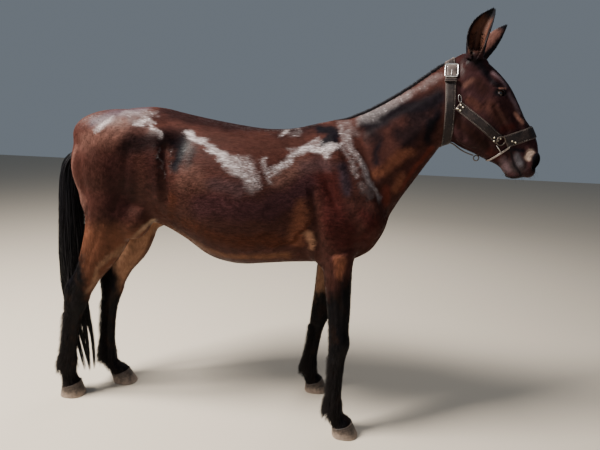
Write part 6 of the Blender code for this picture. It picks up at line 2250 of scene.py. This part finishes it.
def studio():
    """A pale floor, soft lights and a pale surround."""
    mesh = bmesh.new()
    bmesh.ops.create_grid(mesh, x_segments=2, y_segments=2, size=14.0)
    floor = mesh_object("floor", mesh)
    stuff, tree, shader = material("floor", 0.9)
    shader.inputs["Base Color"].default_value = (0.52, 0.46, 0.38, 1.0)
    floor.data.materials.append(stuff)
    world = bpy.data.worlds.new("world")
    world.use_nodes = True
    bpy.context.scene.world = world
    world.node_tree.nodes["Background"].inputs["Color"].default_value = (0.74, 0.86, 1.0, 1.0)
    world.node_tree.nodes["Background"].inputs["Strength"].default_value = 0.20
    for name, place, size, power_of, colour in (
            ("key", (-3.0, -1.2, 4.5), 1.4, 900.0, (1.0, 0.94, 0.86)),
            ("fill", (1.2, -4.6, 2.4), 3.2, 30.0, (0.90, 0.94, 1.0)),
            ("rim", (0.4, 3.4, 3.4), 2.2, 60.0, (1.0, 0.95, 0.9))):
        data = bpy.data.lights.new(name, "AREA")
        data.size = size
        data.energy = power_of
        data.color = colour
        light = bpy.data.objects.new(name, data)
        light.location = place
        aim = Vector((0.0, 0.0, 0.9)) - Vector(place)
        light.rotation_euler = aim.to_track_quat("-Z", "Y").to_euler()
        bpy.context.scene.collection.objects.link(light)


def trunk_fore(points):
    """Where the coat of the front of the body grows."""
    return ((points[:, 2] > 0.80) & (points[:, 0] < 1.04) & (points[:, 0] > 0.20)) * 1.0


def trunk_rear(points):
    """Where the coat of the back of the body grows."""
    return ((points[:, 2] > 0.80) & (points[:, 0] <= 0.20)) * 1.0


def legs_low(points):
    """Where the coat of the legs grows."""
    return ((points[:, 2] <= 0.80) & (points[:, 2] > 0.075)) * 1.0


def head_clear(points):
    """Where the coat of the head grows: not on the muzzle or the eyes."""
    clear = np.linalg.norm(points - (1.462, 0, 1.33), axis=1) > 0.075
    eyes = np.abs(points * (1, 0, 1) + (0, 0, 0) - (EYE[0], 0, EYE[2]))
    away = np.linalg.norm(eyes, axis=1) > 0.024
    return ((points[:, 0] > 1.098) & clear & away) * 1.0


skin = skin_piece()
dress(skin, places(skin), ways_out(skin))
TREE = surface_of(skin)
coat = coat_material("coat")
dressed = [skin,
           tufts("coat_fore", skin, 46000, 201, trunk_fore, 0.016, 0.0019, 0.0011),
           tufts("coat_rear", skin, 46000, 202, trunk_rear, 0.016, 0.0019, 0.0011),
           tufts("coat_legs", skin, 44000, 203, legs_low, 0.014, 0.0014, 0.0040),
           tufts("coat_head", skin, 26000, 204, head_clear, 0.0075, 0.0012, 0.0007)]
hair = hair_material("tail_hair", (0.0016, 0.0017, 0.0028), (0.0080, 0.0070, 0.0085))
short_hair = hair_material("short_hair", (0.0030, 0.0030, 0.0048), (0.0150, 0.0125, 0.0150), 0.6)
leg_hair = hair_material("leg_hair", (0.0026, 0.0022, 0.0028), (0.0130, 0.0090, 0.0080), 0.6)
dusty_hair = hair_material("dusty_hair", (0.0180, 0.0130, 0.0110), (0.075, 0.056, 0.047), 0.6)
ear_fluff = hair_material("ear_fluff", (0.0060, 0.0030, 0.0028), (0.030, 0.013, 0.0095), 0.6)
tail_parts = [tail_core(),
              tail_hair("tail_locks", 420, 301, 16, 0.0090, 0.40, (0.55, 0.98), (0.02, 0.45), (0.40, 0.62), 6),
              tail_hair("tail_strands", 3600, 302, 10, 0.0020, 0.8, (0.60, 1.03), (0.02, 0.62), (0.28, 0.60), 3)]
mane = mane_hair(TREE, 5200, 303)
shaggy = feathers(TREE) + [coronet_fringe(TREE)]
lashes, feelers, inner = face_hair()
made = [(piece, coat, "coat", ()) for piece in dressed[1:]]
made.append((skin, coat, "coat", FLESH))
made += [(piece, hair, "tail_hair", ("tail",)) for piece in tail_parts]
made.append((mane, short_hair, "mane_hair", ("mane",)))
made += [(piece, leg_hair, "coat_lower_leg", ()) for piece in shaggy[:-1]]
made.append((shaggy[-1], dusty_hair, "coat_lower_leg", ()))
made += [(lashes, hair, "coat_head", ()), (feelers, short_hair, "coat_head", ()), (inner, ear_fluff, "ear", ())]
horn = hoof_material()
for leg, joints in LEGS.items():
    made.append((hoof(f"horn_{leg}", joints[4], joints[5]), horn, "hoof", (f"hoof_{leg}",)))
wet = eye_material()
for side, word in ((RIGHT, "right"), (LEFT, "left")):
    made.append((eye_piece(side, word), wet, "eye", (f"eye_{word}",)))
made += halter()
SHIFT = to_frame(*[row[0] for row in made])
for piece, stuff, slot, nodes in made:
    piece.data.materials.clear()
    piece.data.materials.append(stuff)
    if nodes:
        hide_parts(*nodes)
camera(SHIFT)
studio()
print("triangles", {row[0].name: len(row[0].data.polygons) for row in made})
